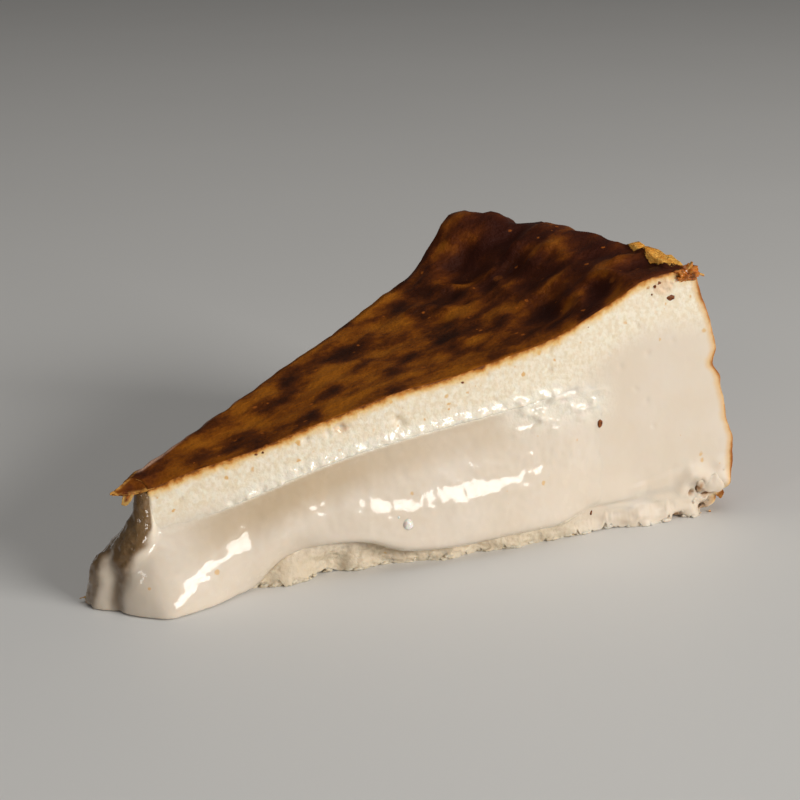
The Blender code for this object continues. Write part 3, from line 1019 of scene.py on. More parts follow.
def write_border(obj, patches):
    """Stores how close each point is to a border of the patches: skin is thin and pale there."""
    lines = []
    for left, right, *_ in patches:
        for path in (millimetres(*left), millimetres(*right)):
            lines += [(on_path(path, i / 12), on_path(path, (i + 1) / 12)) for i in range(3, 12)]
        lines.append((on_path(millimetres(*left), 1.0), on_path(millimetres(*right), 1.0)))
    near = [min(to_segment(v.co, a, b) for a, b in lines) for v in obj.data.vertices]
    attribute = obj.data.attributes.new("border", "FLOAT", "POINT")
    attribute.data.foreach_set("value", [fade(0.0002, 0.0007, away) for away in near])


point_skin = skin_piece("point_skin", POINT_SKIN)
torn_skin = skin_piece("torn_skin", TORN_SKIN)
print("torn skin:", len(POINT_SKIN) + len(TORN_SKIN), "patches")

# %% [markdown]
# ## Crumbs, flecks and drops
# Crumbs of custard stuck to the foot and to the broken corner. A few flecks of browned skin
# were dragged over the cream by the knife, and clear drops stand on the wet parts. All of
# them are small round shapes with noise in their surface, sunk a little into what carries
# them. A helper collects the round shapes into one mesh.

# %% Lumps
def add_lump(bm, spot, size, roughness, seed, turn=0.0, detail=2, chops=0):
    """Adds one uneven lump with its three half sizes; chops gives it that many broken sides."""
    rng = random.Random(int(seed))
    broken = [Vector([rng.gauss(0.0, 1.0) for _ in range(3)]).normalized() for _ in range(chops)]
    made = bmesh.ops.create_icosphere(bm, subdivisions=detail, radius=1.0)
    for v in made["verts"]:
        local = v.co.copy()
        for side in broken:
            local -= side * max(0.0, local.dot(side) - 0.55)
        bumps = rough(v.co, 0.9, seed) + 0.7 * rough(v.co, 0.45, seed) + 0.4 * rough(v.co, 0.2, seed)
        local *= 1.0 + roughness * bumps
        local = Vector((local.x * size[0], local.y * size[1], local.z * size[2]))
        v.co = spot + Matrix.Rotation(turn, 3, "Z") @ local


def surface(side, radius, height):
    """How far the visible surface stands out of a cut face."""
    low, high = seams(radius)
    if low < height < high and radius < 0.090:
        return bulge(side, radius, height)
    return face_relief(side, radius, height)


FACE_TURN = {NEAR: -HALF_ANGLE, FAR: HALF_ANGLE}
print("lumps turn by", round(math.degrees(HALF_ANGLE), 1), "degrees to lie along a face")

# %% Crumbs
CRUMB_COUNT = 130
CRUMBED_RADII = (0.023, 0.113)
CRUMB_SIZES = (0.0002, 0.0006)
CORNER_CRUMBS = (
    (0.1064, 0.0012, 0.0024, 0.0014), (0.1086, 0.0024, 0.0016, 0.0017),
    (0.1118, 0.0016, 0.0016, 0.0015), (0.1124, 0.0066, 0.0030, 0.0027),
    (0.1146, 0.0038, 0.0012, 0.0016),
)
bm = bmesh.new()
for i, (radius, height, wide, tall) in enumerate(CORNER_CRUMBS):
    spot = along_face(NEAR, radius, height, face_relief(NEAR, radius, height) - 0.0008)
    add_lump(bm, spot, (wide, 0.0012, tall), 0.34, 60.0 + i, FACE_TURN[NEAR], 4, 7)
rng = random.Random(7)
for i in range(CRUMB_COUNT):
    side = rng.choice((NEAR, NEAR, FAR))
    radius = rng.uniform(*CRUMBED_RADII)
    size = rng.uniform(*CRUMB_SIZES)
    height = size * rng.uniform(0.2, 1.0)
    outward = face_relief(side, radius, height) + rng.uniform(0.0, 0.4) * size
    sizes = (rng.uniform(1.0, 2.4) * size, 0.9 * size, 0.8 * size)
    add_lump(bm, along_face(side, radius, height, outward), sizes, 0.5, 70.0 + i, FACE_TURN[side], 2, 5)
for v in bm.verts:
    v.co.z = max(v.co.z, 0.00002)
loose_crumbs = new_object("loose_crumbs", bm)
loose_crumbs.data.shade_smooth()
print("crumbs:", len(loose_crumbs.data.polygons), "faces")

# %% Curl of skin at the corner
CURLS = (
    (0.1052, 0.0472, 0.0016, 0.0008), (0.1068, 0.0475, 0.0014, 0.0010), (0.1061, 0.0464, 0.0017, 0.0007),
)
bm = bmesh.new()
for i, (radius, height, wide, tall) in enumerate(CURLS):
    spot = along_face(NEAR, radius, height, -0.0004)
    add_lump(bm, spot, (wide, 0.0012, tall), 0.7, 30.0 + i, FACE_TURN[NEAR], 4)
corner_curl = new_object("corner_curl", bm)
corner_curl.data.shade_smooth()
print("corner curl:", triangles(corner_curl), "triangles")

# %% Flecks and drops
FLECKS = (
    (0.0889, 0.0210, 0.00050, 0.0008), (0.0872, 0.0043, 0.0003, 0.0008),
    (0.1004, 0.0460, 0.00050, 0.0003), (0.0996, 0.0454, 0.0003, 0.0003),
    (0.1030, 0.0430, 0.0008, 0.0006), (0.0239, 0.0241, 0.0003, 0.0002),
    (0.0251, 0.0243, 0.00025, 0.0002), (0.0620, 0.0321, 0.0003, 0.0002),
    (0.0991, 0.0440, 0.0002, 0.0002),
)
DROPS = ((0.0500, 0.0085, 0.00105), (0.0484, 0.0100, 0.00025))
bm = bmesh.new()
for i, (radius, height, width, tall) in enumerate(FLECKS):
    for side in (NEAR, FAR):
        shift = 0.004 * rough(Vector((i, 0.0, 0.0)), 1.7, 3.0) if side == FAR else 0.0
        spot = along_face(side, radius + shift, height, surface(side, radius + shift, height))
        add_lump(bm, spot, (width, 0.00014, tall), 0.3, 80.0 + i, FACE_TURN[side])
brown_flecks = new_object("brown_flecks", bm)
bm = bmesh.new()
for i, (radius, height, size) in enumerate(DROPS):
    for side in (NEAR, FAR):
        spot = along_face(side, radius, height, surface(side, radius, height) - 0.35 * size)
        add_lump(bm, spot, (0.95 * size, size, size), 0.06, 90.0 + i, FACE_TURN[side], 4)
drops = new_object("drops", bm)
for obj in (brown_flecks, drops):
    obj.data.shade_smooth()
print("flecks:", len(FLECKS), "drops:", len(DROPS), "on each face")

# %% [markdown]
# ## Masks for the finishes
# A finish needs to know where on the slice it is. Each point of a mesh therefore keeps a few
# numbers: how deep it lies under the skin and behind the wall, how grainy and how wet it is,
# where painted shade tans the cream under the lip, where the rim is torn, and how much brown
# syrup ran over it, a mask that also paints shade. Both custards carry the same masks, so
# that their colours agree wherever they meet.

# %% Write the masks
# Painted shade: how strongly the cream under the wet lip is tanned, along the radius.
LIP_SHADE_ALONG = ((0.010, 0.0), (0.018, 0.8), (0.034, 1.0), (0.050, 0.7), (0.070, 0.35), (0.084, 0.0))


def flow(radius, height):
    """Where the cut face is liquid: sharp at the lip, fading at both ends of it."""
    low, high = seams(radius)
    soft = max(fade(0.020, 0.028, radius), ease(0.076, 0.090, radius))
    inside = ease(-high - 0.0002 - 0.002 * soft, -high + 0.0002 + 0.001 * soft, -height)
    return inside * ease(low - 0.0004, low + 0.0004, height) * fade(0.080, 0.096, radius)


def masks_at(spot, crumbly):
    """Every mask at one spot, in millimetres or from 0 to 1."""
    height = spot.z
    radius, share = polar(spot)
    share = min(max(share, -1.0), 1.0)
    skin_radius = min(radius, RIM_RADIUS)
    relief = skin_relief(skin_radius, share)
    skin = top_height(skin_radius, share) + relief
    high = seams(radius)[1]
    under_lip = ease(high - 0.0085, high - 0.0030, height)
    under_lip *= fade(high - 0.0004, high + 0.0003, height)
    usual = 0.6 * ease(0.060, 0.092, radius) * (1.0 - 0.75 * ease(0.70, 1.0, -share))
    beyond = (spot - along_face(FAR, 0.0, 0.0)).dot(out_of_face(FAR))
    # Painted highlight along the far edge, where the skin hangs over the cut.
    far_edge_reach = fade(0.04, 0.06, radius) * ease(0.006, 0.008, radius)
    on_near_face = ease(0.90, 0.98, -share)
    return {
        "skin_depth": 1000.0 * (skin - height),
        "wall_depth": 1000.0 * (wall_radius(max(height, 0.0), share * HALF_ANGLE) - radius),
        "curds": curdled(radius, height),
        "crumbs_and_shade": crumbling(radius, height) if crumbly else 0.0,
        "wet": wetness(radius, height),
        # painted shade under the lip
        "tan": curve(LIP_SHADE_ALONG, radius) * under_lip,
        "syrup_and_shade": syrup_and_shade(spot),
        "torn": torn(radius, share) * fade(0.0018, 0.0034, skin - height),
        # painted light and shade on the folds of the skin
        "fold_light": 1000.0 * relief - usual,
        "far_edge_highlight": ease(0.0010, 0.0016, beyond) * far_edge_reach,
        "flow": flow(radius, height),
        "cavity": cavity(radius, height) * on_near_face,
        "glaze": glaze(radius, height) * on_near_face,
    }


def dress_masks(obj):
    """Writes the masks of a custard piece as attributes of its points."""
    rows = [masks_at(v.co, obj != runny) for v in obj.data.vertices]
    for name in rows[0]:
        attribute = obj.data.attributes.new(name, "FLOAT", "POINT")
        attribute.data.foreach_set("value", [row[name] for row in rows])


for obj in (firm, runny, loose_crumbs, point_skin, crumbled_foot):
    dress_masks(obj)
print("masks on", len(firm.data.vertices) + len(runny.data.vertices), "points")


# %% Skin faces
def is_skin(polygon, depth):
    """Whether a face belongs to the browned skin on top, which rolls over the rim."""
    radius, share = polar(polygon.center)
    deepest = 1.4 if radius > 0.095 and abs(share) < 0.96 else 0.35
    return polygon.normal.z > 0.25 and all(depth[i].value < deepest for i in polygon.vertices)


depth = firm.data.attributes["skin_depth"].data
skin_faces = [is_skin(p, depth) for p in firm.data.polygons]
print("skin faces:", sum(skin_faces))

# %% [markdown]
# ## Finishes
# Custard lets light in and gives it back a little way off, so its shader scatters light under
# the surface. What varies over it is small: curds a little paler or yellower, and flecks of
# browned milk. A painted picture could carry that, but noise stays sharp close up and never
# stretches. The helpers add one node each, so that a finish reads like a sum.

# %% Node helpers
def feed(tree, socket, value):
    """Links a socket to another socket, or sets it to a plain value."""
    if isinstance(value, bpy.types.NodeSocket):
        tree.links.new(value, socket)
    else:
        socket.default_value = value


def add(tree, kind, values=None, **settings):
    """Adds a node, sets its own settings and then feeds its sockets."""
    node = tree.nodes.new(kind)
    for name, value in settings.items():
        setattr(node, name, value)
    for name, value in (values or {}).items():
        feed(tree, node.inputs[name], value)
    return node


def arithmetic(operation, tree, first, second):
    """One step of arithmetic."""
    return add(tree, "ShaderNodeMath", {0: first, 1: second}, operation=operation).outputs[0]


times = partial(arithmetic, "MULTIPLY")
plus = partial(arithmetic, "ADD")
minus = partial(arithmetic, "SUBTRACT")
larger = partial(arithmetic, "MAXIMUM")


def step(tree, value, start, end):
    """0 at start and 1 at end, smoothly."""
    values = {"Value": value, "From Min": start, "From Max": end}
    return add(tree, "ShaderNodeMapRange", values, interpolation_type="SMOOTHSTEP").outputs["Result"]


def fall(tree, value, start, end):
    """1 at start and 0 at end, smoothly."""
    return minus(tree, 1.0, step(tree, value, start, end))


def between(tree, value, low, high):
    """Spreads a value from 0 to 1 evenly from low to high."""
    values = {"Value": value, "To Min": low, "To Max": high}
    return add(tree, "ShaderNodeMapRange", values).outputs["Result"]


def grain(tree, where, size, detail=2.0, roughness=0.5, distortion=0.0):
    """Noise from 0 to 1 whose bumps are about this many metres across."""
    values = {
        "Vector": where, "Scale": 1.0 / size, "Detail": detail, "Roughness": roughness,
        "Distortion": distortion,
    }
    return add(tree, "ShaderNodeTexNoise", values).outputs["Fac"]


def mask(tree, name):
    """A mask that the points of the mesh carry."""
    return add(tree, "ShaderNodeAttribute", attribute_name=name).outputs["Fac"]


print("a bump of 1 mm is a noise scale of", round(1.0 / 0.001))


# %% Colours
def linear(red, green, blue):
    """A colour as a screen shows it, from 0 to 255, made linear for the shader."""
    def channel(value):
        value /= 255.0
        return value / 12.92 if value <= 0.04045 else ((value + 0.055) / 1.055) ** 2.4
    return (channel(red), channel(green), channel(blue), 1.0)


def mix(tree, share, first, second):
    """The first colour where the share is 0, the second where it is 1."""
    return add(tree, "ShaderNodeMix", {0: share, 6: first, 7: second}, data_type="RGBA").outputs[2]


def layer(tree, under, cover, strength, colour):
    """A colour laid over another one where the cover is, at this strength."""
    return mix(tree, times(tree, cover, strength), under, colour)


print("middle grey is", round(linear(128, 128, 128)[0], 3), "to the shader")

# %% Groups and materials
NOWHERE = (0.0, 0.0, 0.0)
WHITE = (1.0, 1.0, 1.0, 1.0)
SOCKET_KINDS = {1: "NodeSocketFloat", 3: "NodeSocketVector", 4: "NodeSocketColor"}


def new_group(name, inputs, outputs):
    """An empty node group, whose named sockets get their kind from how many numbers they hold."""
    tree = bpy.data.node_groups.new(name, "ShaderNodeTree")
    for sockets, in_out in ((inputs, "INPUT"), (outputs, "OUTPUT")):
        for socket, value in sockets.items():
            kind = SOCKET_KINDS[len(value) if isinstance(value, tuple) else 1]
            made = tree.interface.new_socket(socket, in_out=in_out, socket_type=kind)
            made.default_value = value
    return tree, add(tree, "NodeGroupInput").outputs, add(tree, "NodeGroupOutput").inputs


def use_group(tree, group, values):
    """The outputs of a group that is fed with these values."""
    return add(tree, "ShaderNodeGroup", values, node_tree=group).outputs


def new_material(name, values):
    """A material with one Principled shader, whose even values are set on its sockets."""
    material = bpy.data.materials.new(name)
    material.use_nodes = True
    tree = material.node_tree
    shader = tree.nodes["Principled BSDF"]
    for socket, value in values.items():
        shader.inputs[socket].default_value = value
    print("finish:", material.name)
    return material, tree, shader, add(tree, "ShaderNodeTexCoord").outputs["Object"]


def bump(tree, shader, height, distance):
    """Feeds a height into the shader as bump, in metres."""
    node = add(tree, "ShaderNodeBump", {"Height": height, "Distance": distance})
    tree.links.new(node.outputs["Normal"], shader.inputs["Normal"])


# %% [markdown]
# ## Effects used more than once
# Cloudy cream and small flecks are each a node group, which a finish then uses with its own
# colours and sizes. Flecks are the cells of a Voronoi pattern: a share of the cells is chosen
# by the cell's random colour, and each of those shows a spot of its own size. Scattered small
# pieces could do the same, but flecks this fine lie in the custard and not on it.

# %% Clouds and flecks
clouds, given, result = new_group(
    "cream_clouds", {"Vector": NOWHERE, "Pale": WHITE, "Warm": WHITE, "Size": 0.004}, {"Color": WHITE}
)
scale = arithmetic("DIVIDE", clouds, 1.0, given["Size"])
wide = add(clouds, "ShaderNodeTexNoise", {"Vector": given["Vector"], "Scale": scale, "Detail": 3.0})
share = step(clouds, wide.outputs["Fac"], 0.36, 0.64)
clouds.links.new(mix(clouds, share, given["Pale"], given["Warm"]), result["Color"])

WOBBLE_SCALE = 1400.0
WOBBLE = (0.0007, 0.0007, 0.0007)
flecks, given, result = new_group(
    "flecks", {"Vector": NOWHERE, "Spacing": 0.002, "Share": 0.1, "Radius": 0.2}, {"Mask": 0.0}
)
scale = arithmetic("DIVIDE", flecks, 1.0, given["Spacing"])
wobble = add(flecks, "ShaderNodeTexNoise", {"Vector": given["Vector"], "Scale": WOBBLE_SCALE})
shifted = add(flecks, "ShaderNodeVectorMath", {0: wobble.outputs["Color"], 1: WOBBLE}, operation="MULTIPLY")
moved = add(
    flecks, "ShaderNodeVectorMath", {0: given["Vector"], 1: shifted.outputs[0]}, operation="ADD"
)
cells = add(flecks, "ShaderNodeTexVoronoi", {"Vector": moved.outputs[0], "Scale": scale})
chosen = add(flecks, "ShaderNodeSeparateColor", {"Color": cells.outputs["Color"]})
is_chosen = arithmetic("LESS_THAN", flecks, chosen.outputs["Red"], given["Share"])
size = times(flecks, given["Radius"], chosen.outputs["Green"])
near = step(flecks, cells.outputs["Distance"], size, times(flecks, size, 0.5))
flecks.links.new(times(flecks, near, is_chosen), result["Mask"])
print("node groups:", [group.name for group in bpy.data.node_groups])


# %% Flecks and bare patches in a finish
def specks(tree, where, spacing, share, radius):
    """The mask of flecks: their spacing, the share of places that have one, and their size."""
    values = {"Vector": where, "Spacing": spacing, "Share": share, "Radius": radius}
    return use_group(tree, flecks, values)["Mask"]


def bared(tree, here):
    """The ragged patch of the rim without skin: its mask, its yellow custard and its crumb."""
    frayed = times(tree, minus(tree, grain(tree, here, 0.0016, 4.0, 0.6), 0.5), 1.6)
    patch = step(tree, plus(tree, mask(tree, "torn"), frayed), 0.38, 0.56)
    cloudy = step(tree, grain(tree, here, 0.0014, 3.0), 0.35, 0.65)
    yellow = mix(tree, cloudy, linear(252, 188, 90), linear(238, 158, 62))
    return patch, yellow, times(tree, grain(tree, here, 0.0011, 4.0, 0.65), patch)


# %% [markdown]
# ## The colour of custard
# Baked custard is pale with warmer curds, smooth cream is greyer and darker, and both take on
# a tan under the wet lip, which is painted shade. Orange flecks gather near the skin, the
# crumbly foot is painted darker as shade under the bulge, and brown syrup covers the point,
# partly as painted shade. The group lays these over one another by the masks. Its height
# carries the fine grain of the curds, which is too small for the mesh.

# %% Custard
CURD_CLOUDS = (linear(237, 227, 208), linear(229, 214, 188), 0.0009)
CREAM_CLOUDS = (linear(224, 211, 195), linear(221, 206, 187), 0.016)

custard, given, result = new_group(
    "custard",
    {"Vector": NOWHERE, "Curds": 0.0, "Tan": 0.0, "Syrup_And_Shade": 0.0, "Near Skin": 0.0, "Crumbs": 0.0},
    {"Color": WHITE, "Height": 0.0},
)
here, curds, crumbs_and_shade = given["Vector"], given["Curds"], given["Crumbs"]
grainy, creamy = (
    use_group(custard, clouds, {"Vector": here, "Pale": pale, "Warm": warm, "Size": size})["Color"]
    for pale, warm, size in (CURD_CLOUDS, CREAM_CLOUDS)
)
colour = mix(custard, curds, creamy, grainy)
# Painted shade: a tan under the wet lip, where the cream lies in the lip's shadow.
colour = layer(custard, colour, given["Tan"], 0.85, linear(196, 173, 142))
# Painted shade: the crumbly foot is darker, as it lies in shade under the bulge; its bump is real crumb.
colour = layer(custard, colour, crumbs_and_shade, 0.9, linear(212, 196, 171))
share = plus(custard, times(custard, given["Near Skin"], 0.20), times(custard, curds, 0.09))
colour = layer(custard, colour, specks(custard, here, 0.0015, share, 0.50), 0.75, linear(218, 164, 76))
colour = layer(custard, colour, specks(custard, here, 0.0040, 0.45, 0.17), 0.6, linear(220, 172, 92))
# Brown syrup at the point: partly real syrup, partly painted shade on the far side of the mound and between the
# lobes.
colour = layer(custard, colour, given["Syrup_And_Shade"], 0.93, linear(104, 72, 26))
custard.links.new(colour, result["Color"])
fine = times(custard, grain(custard, here, 0.0007), larger(custard, curds, crumbs_and_shade))
broken = times(custard, grain(custard, here, 0.0012, 4.0, 0.6), crumbs_and_shade)
fine = plus(custard, fine, times(custard, broken, 1.6))
slow = times(custard, grain(custard, here, 0.0014), 0.12)
custard.links.new(plus(custard, fine, slow), result["Height"])
print("custard takes", [socket.name for socket in custard.interface.items_tree if socket.in_out == "INPUT"])

# %% [markdown]
# ## The gloss of custard
# Wet and runny places are smooth and carry a clear coat, and curds are duller. Beads of
# moisture lie on the wet lip: there the grain of the curds gives way to a finer one.

# %% Gloss
gloss_of, given, result = new_group(
    "cream_gloss",
    {"Vector": NOWHERE, "Curds": 0.0, "Flow": 0.0, "Wet": 0.0, "Height": 0.0},
    {"Roughness": 0.0, "Coat": 0.0, "Height": 0.0},
)
here, flowing, wet = given["Vector"], given["Flow"], given["Wet"]
dull = plus(gloss_of, 0.30, times(gloss_of, grain(gloss_of, here, 0.0021, 3.0), 0.12))
dull = plus(gloss_of, dull, times(gloss_of, given["Curds"], 0.12))
dull = minus(gloss_of, dull, times(gloss_of, flowing, 0.10))
dull = minus(gloss_of, dull, times(gloss_of, wet, 0.16))
gloss_of.links.new(dull, result["Roughness"])
coat = larger(gloss_of, times(gloss_of, flowing, 0.8), times(gloss_of, wet, 0.9))
gloss_of.links.new(coat, result["Coat"])
dry = times(gloss_of, minus(gloss_of, 1.0, times(gloss_of, wet, 0.8)), given["Height"])
beaded = times(gloss_of, grain(gloss_of, here, 0.0007), times(gloss_of, wet, 1.2))
gloss_of.links.new(plus(gloss_of, dry, beaded), result["Height"])
print("gloss gives", [socket.name for socket in gloss_of.interface.items_tree if socket.in_out == "OUTPUT"])

# %% [markdown]
# ## Browned skin
# Sugar and milk brown unevenly: the skin goes from amber to nearly black in blotches, darker
# at the rim, and paler on the crests of its folds, where painted light and shade stand in for
# the light that the folds catch. A ramp of five browns, read off by blotchy noise, gives that
# range, and flecks over it stand for sparks of light and for pores.

# %% Scorched colour
SCORCH_START, SCORCH_END = (0.34, (158, 92, 20)), (0.84, (38, 17, 9))
SCORCH_BETWEEN = ((0.47, (130, 70, 14)), (0.56, (92, 45, 12)), (0.68, (58, 27, 11)))

scorch, given, result = new_group(
    "scorch", {"Vector": NOWHERE, "Burnt": 0.0, "Fold_Light": 0.0}, {"Color": WHITE, "Height": 0.0}
)
here, burnt = given["Vector"], given["Burnt"]
drawn = add(scorch, "ShaderNodeVectorMath", {0: here, 1: (0.72, 1.0, 1.0)}, operation="MULTIPLY").outputs[0]
blotch = grain(scorch, drawn, 0.0062, 1.6, 0.45, 0.15)
streak = grain(scorch, drawn, 0.0022, 3.0, 0.55, 0.3)
crackle = grain(scorch, here, 0.0010, 3.0, 0.6)
tone = plus(scorch, blotch, times(scorch, minus(scorch, streak, 0.5), 0.22))
tone = plus(scorch, tone, times(scorch, minus(scorch, crackle, 0.5), 0.16))
tone = plus(scorch, tone, times(scorch, burnt, 0.17))
# Painted light and shade: paler on the crests of the folds, darker in their hollows.
tone = minus(scorch, tone, times(scorch, given["Fold_Light"], 0.16))
ramp = add(scorch, "ShaderNodeValToRGB", {"Fac": tone})
for element, (position, colour) in zip(ramp.color_ramp.elements, (SCORCH_START, SCORCH_END)):
    element.position = position
    element.color = linear(*colour)
for position, colour in SCORCH_BETWEEN:
    ramp.color_ramp.elements.new(position).color = linear(*colour)
colour = layer(scorch, ramp.outputs["Color"], burnt, 0.25, linear(96, 40, 26))
spark = times(scorch, specks(scorch, here, 0.0065, 0.5, 0.22), burnt)
colour = layer(scorch, colour, spark, 0.5, linear(156, 86, 30))
colour = layer(scorch, colour, specks(scorch, here, 0.0022, 0.25, 0.28), 0.65, linear(184, 100, 34))
colour = layer(scorch, colour, specks(scorch, here, 0.0060, 0.35, 0.06), 0.8, linear(26, 13, 8))
scorch.links.new(colour, result["Color"])
scorch.links.new(plus(scorch, crackle, times(scorch, blotch, 0.6)), result["Height"])
print("browns:", len(ramp.color_ramp.elements))

# %% Skin finish
skin_finish, tree, shader, here = new_material(
    "browned_skin", {"IOR": 1.30, "Specular IOR Level": 0.14, "Coat Roughness": 0.14, "Coat IOR": 1.3}
)
at_rim = fall(tree, mask(tree, "wall_depth"), 4.0, 44.0)
at_point = times(tree, step(tree, mask(tree, "wall_depth"), 98.0, 108.0), 0.35)
burnt = larger(tree, at_rim, at_point)
browned = use_group(tree, scorch, {"Vector": here, "Burnt": burnt, "Fold_Light": mask(tree, "fold_light")})
# Painted highlight: a pale pinkish line where the skin hangs over the far face.
colour = layer(tree, browned["Color"], mask(tree, "far_edge_highlight"), 0.8, linear(214, 172, 146))
thin = times(tree, mask(tree, "border"), step(tree, grain(tree, here, 0.0016, 3.0), 0.30, 0.55))
colour = mix(tree, thin, colour, linear(196, 142, 70))
patch, yellow_custard, crumbed = bared(tree, here)
tree.links.new(mix(tree, patch, colour, yellow_custard), shader.inputs["Base Color"])
tree.links.new(between(tree, grain(tree, here, 0.003), 0.26, 0.48), shader.inputs["Roughness"])
bump(tree, shader, plus(tree, browned["Height"], times(tree, crumbed, 4.0)), 0.00028)

# %% [markdown]
# ## The two custards
# Both custards share one shader with a little scattering under the surface, and the same group
# for colour and gloss, so that no line shows where they cross. The baked one adds what the
# oven did: brown flecks and a soft brown edge under the skin, and a tan edge along the wall.

# %% What both custards share
CREAM_SHADER = {
    "IOR": 1.38, "Specular IOR Level": 0.22, "Subsurface Weight": 0.5, "Subsurface Radius": (1.0, 0.75, 0.55),
    "Subsurface Scale": 0.0007, "Coat Roughness": 0.05, "Coat IOR": 1.36,
}
CREAM_BUMP = 0.00013
# Painted light: wet places are paler, to lift the shade that their bumps would cast.
WET_PAINTED_LIGHT = linear(240, 232, 216)


def cream_colour(tree, here, near_skin, crumbs_and_shade):
    """The colour and height of custard, from the masks that both custards carry."""
    values = {"Vector": here, "Near Skin": near_skin, "Crumbs": crumbs_and_shade}
    for socket in ("Curds", "Tan", "Syrup_And_Shade"):
        values[socket] = mask(tree, socket.lower())
    return use_group(tree, custard, values)


def polish(tree, shader, here, shine, height):
    """Sets roughness and coat from the masks, and returns the height for the bump."""
    values = {"Vector": here, "Curds": mask(tree, "curds"), "Flow": mask(tree, "flow"), "Wet": shine}
    gloss = use_group(tree, gloss_of, {**values, "Height": height})
    tree.links.new(gloss["Roughness"], shader.inputs["Roughness"])
    tree.links.new(gloss["Coat"], shader.inputs["Coat Weight"])
    return gloss["Height"]


print("light scatters over", 1000 * CREAM_SHADER["Subsurface Scale"], "mm")

# %% Baked custard
UNDER_SKIN = ((0.6, 2.4, (228, 192, 128)), (0.2, 1.2, (190, 122, 44)), (-0.1, 0.5, (112, 60, 14)))
ALONG_WALL = ((0.5, 1.9, (222, 190, 144)), (0.0, 0.7, (184, 124, 60)), (-0.4, 0.3, (132, 70, 24)))

firm_finish, tree, shader, here = new_material("baked_custard_finish", CREAM_SHADER)
skin_depth, wet, glassy = mask(tree, "skin_depth"), mask(tree, "wet"), mask(tree, "glaze")
cream = cream_colour(tree, here, fall(tree, skin_depth, 3.0, 10.0), mask(tree, "crumbs_and_shade"))
close = times(tree, fall(tree, skin_depth, 1.0, 5.0), 0.13)
colour = layer(tree, cream["Color"], specks(tree, here, 0.0019, close, 0.24), 0.85, linear(150, 82, 30))
ragged = times(tree, minus(tree, grain(tree, here, 0.0022, 4.0, 0.6), 0.5), 2.4)
patchy = times(tree, minus(tree, grain(tree, here, 0.0065, 4.0, 0.6), 0.52), 2.0)
below = plus(tree, skin_depth, ragged)
behind = plus(tree, mask(tree, "wall_depth"), patchy)
for depth, layers in ((below, UNDER_SKIN), (behind, ALONG_WALL)):
    for start, end, tint in layers:
        colour = mix(tree, fall(tree, depth, start, end), colour, linear(*tint))
# painted light on the wet lip and the dragged cream
colour = layer(tree, colour, wet, 0.7, WET_PAINTED_LIGHT)
# Painted shade: amber colour inside the gaps of the broken corner.
colour = layer(tree, colour, mask(tree, "cavity"), 0.85, linear(176, 122, 58))
colour = layer(tree, colour, glassy, 0.8, linear(226, 196, 162))
patch, yellow_custard, crumbed = bared(tree, here)
tree.links.new(mix(tree, patch, colour, yellow_custard), shader.inputs["Base Color"])
shine = larger(tree, larger(tree, wet, mask(tree, "syrup_and_shade")), glassy)
height = polish(tree, shader, here, shine, cream["Height"])
bump(tree, shader, plus(tree, height, times(tree, crumbed, 6.0)), CREAM_BUMP)

# %% Runny custard
runny_finish, tree, shader, here = new_material("runny_custard_finish", CREAM_SHADER)
wet = mask(tree, "wet")
cream = cream_colour(tree, here, 0.0, 0.0)
# painted light on the wet lip and the dragged cream
tree.links.new(layer(tree, cream["Color"], wet, 0.7, WET_PAINTED_LIGHT), shader.inputs["Base Color"])
height = polish(tree, shader, here, larger(tree, wet, mask(tree, "syrup_and_shade")), cream["Height"])
bump(tree, shader, height, CREAM_BUMP)

# %% [markdown]
# ## The small pieces and the floor
# Torn skin is thin, so light glows through it, and its borders are pale. Flecks are dark
# browned crumbs. The drops are cloudy whey under a clear coat: real glass would be too clear.
# Their near-white colour is partly a painted highlight. The floor is plain and only a little
# uneven in tone.

# %% Torn skin, flecks and drops
torn_finish, tree, shader, here = new_material(
    "torn_skin",
    {"IOR": 1.36, "Specular IOR Level": 0.4, "Subsurface Weight": 0.3, "Subsurface Scale": 0.001,
     "Coat Roughness": 0.08, "Coat Weight": 0.3},
)
tone = step(tree, grain(tree, here, 0.0016, 3.0, 0.6), 0.36, 0.62)
colour = mix(tree, tone, linear(118, 58, 12), linear(190, 114, 38))
tree.links.new(mix(tree, mask(tree, "border"), colour, linear(206, 160, 88)), shader.inputs["Base Color"])
tree.links.new(between(tree, grain(tree, here, 0.001), 0.18, 0.42), shader.inputs["Roughness"])
bump(tree, shader, grain(tree, here, 0.0005, 3.0), 0.0001)

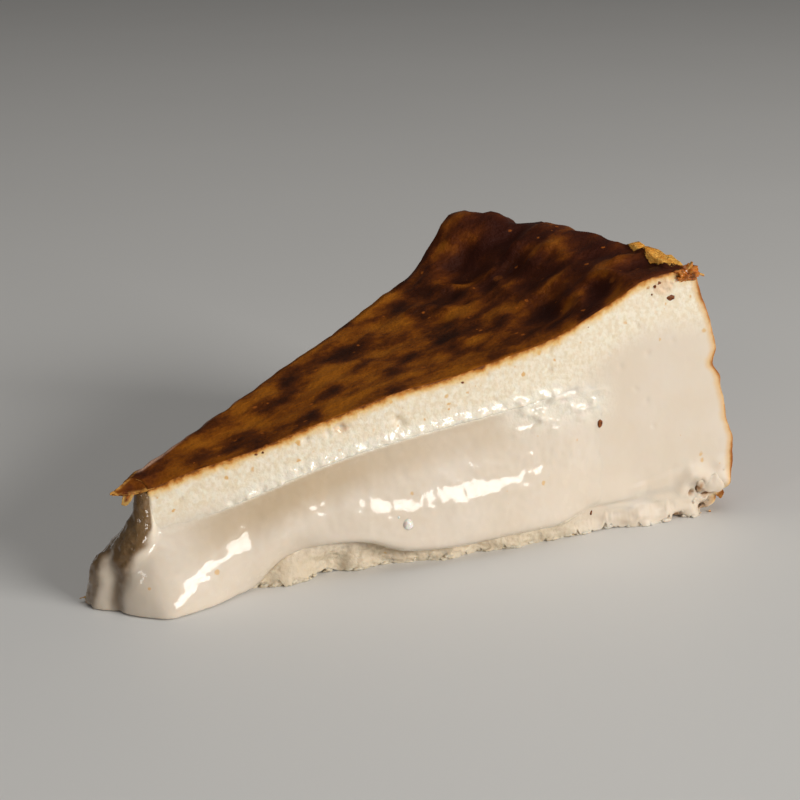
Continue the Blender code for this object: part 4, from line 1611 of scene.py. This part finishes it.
fleck_finish, tree, shader, here = new_material(
    "brown_flecks",
    {"IOR": 1.36, "Specular IOR Level": 0.25, "Coat Roughness": 0.08, "Coat Weight": 0.12, "Roughness": 0.3},
)
tone = step(tree, grain(tree, here, 0.0006), 0.35, 0.65)
tree.links.new(mix(tree, tone, linear(84, 38, 18), linear(142, 82, 38)), shader.inputs["Base Color"])

drop_finish, tree, shader, here = new_material(
    "clear_drops",
    {"IOR": 1.36, "Subsurface Weight": 0.5, "Subsurface Scale": 0.001, "Coat Roughness": 0.03,
     "Coat Weight": 0.8, "Roughness": 0.08},
)
# Near-white whey, partly a painted highlight on the drops.
whey_and_highlight = {"Vector": here, "Pale": linear(248, 243, 236), "Warm": linear(236, 226, 212), "Size": 0.0008}
tree.links.new(use_group(tree, clouds, whey_and_highlight)["Color"], shader.inputs["Base Color"])

# %% Floor finish
floor_finish, tree, shader, here = new_material("pale_floor", {"Roughness": 0.55, "Specular IOR Level": 0.25})
tone = mix(tree, grain(tree, here, 0.12, 3.0), (0.70, 0.69, 0.67, 1.0), (0.73, 0.72, 0.70, 1.0))
tree.links.new(tone, shader.inputs["Base Color"])
floor.data.materials.append(floor_finish)

# %% [markdown]
# ## Dress the model
# Each piece rides on the one body of the slice. The two custards stand for the two solids,
# and the small pieces only add to them.

# %% Put the pieces in place
PIECES = (
    (firm, (firm_finish, skin_finish), "firm_cake", "baked_custard"),
    (runny, (runny_finish,), "runny_centre", "runny_custard"),
    (crumbled_foot, (firm_finish,), None, "baked_custard"),
    (loose_crumbs, (firm_finish,), None, "baked_custard"),
    (point_skin, (skin_finish,), None, "baked_custard"),
    (torn_skin, (torn_finish,), None, "baked_custard"),
    (corner_curl, (torn_finish,), None, "baked_custard"),
    (brown_flecks, (fleck_finish,), None, "baked_custard"),
    (drops, (drop_finish,), None, "runny_custard"),
)
for piece, finishes, node, slot in PIECES:
    piece.data.materials.clear()
    for finish in finishes:
        piece.data.materials.append(finish)
    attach(piece, "root")
    if node:
        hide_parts(node)
firm.data.polygons.foreach_set("material_index", [int(s) for s in skin_faces])
firm.data.shade_smooth()
print("pieces:", [piece.name for piece, *_ in PIECES])
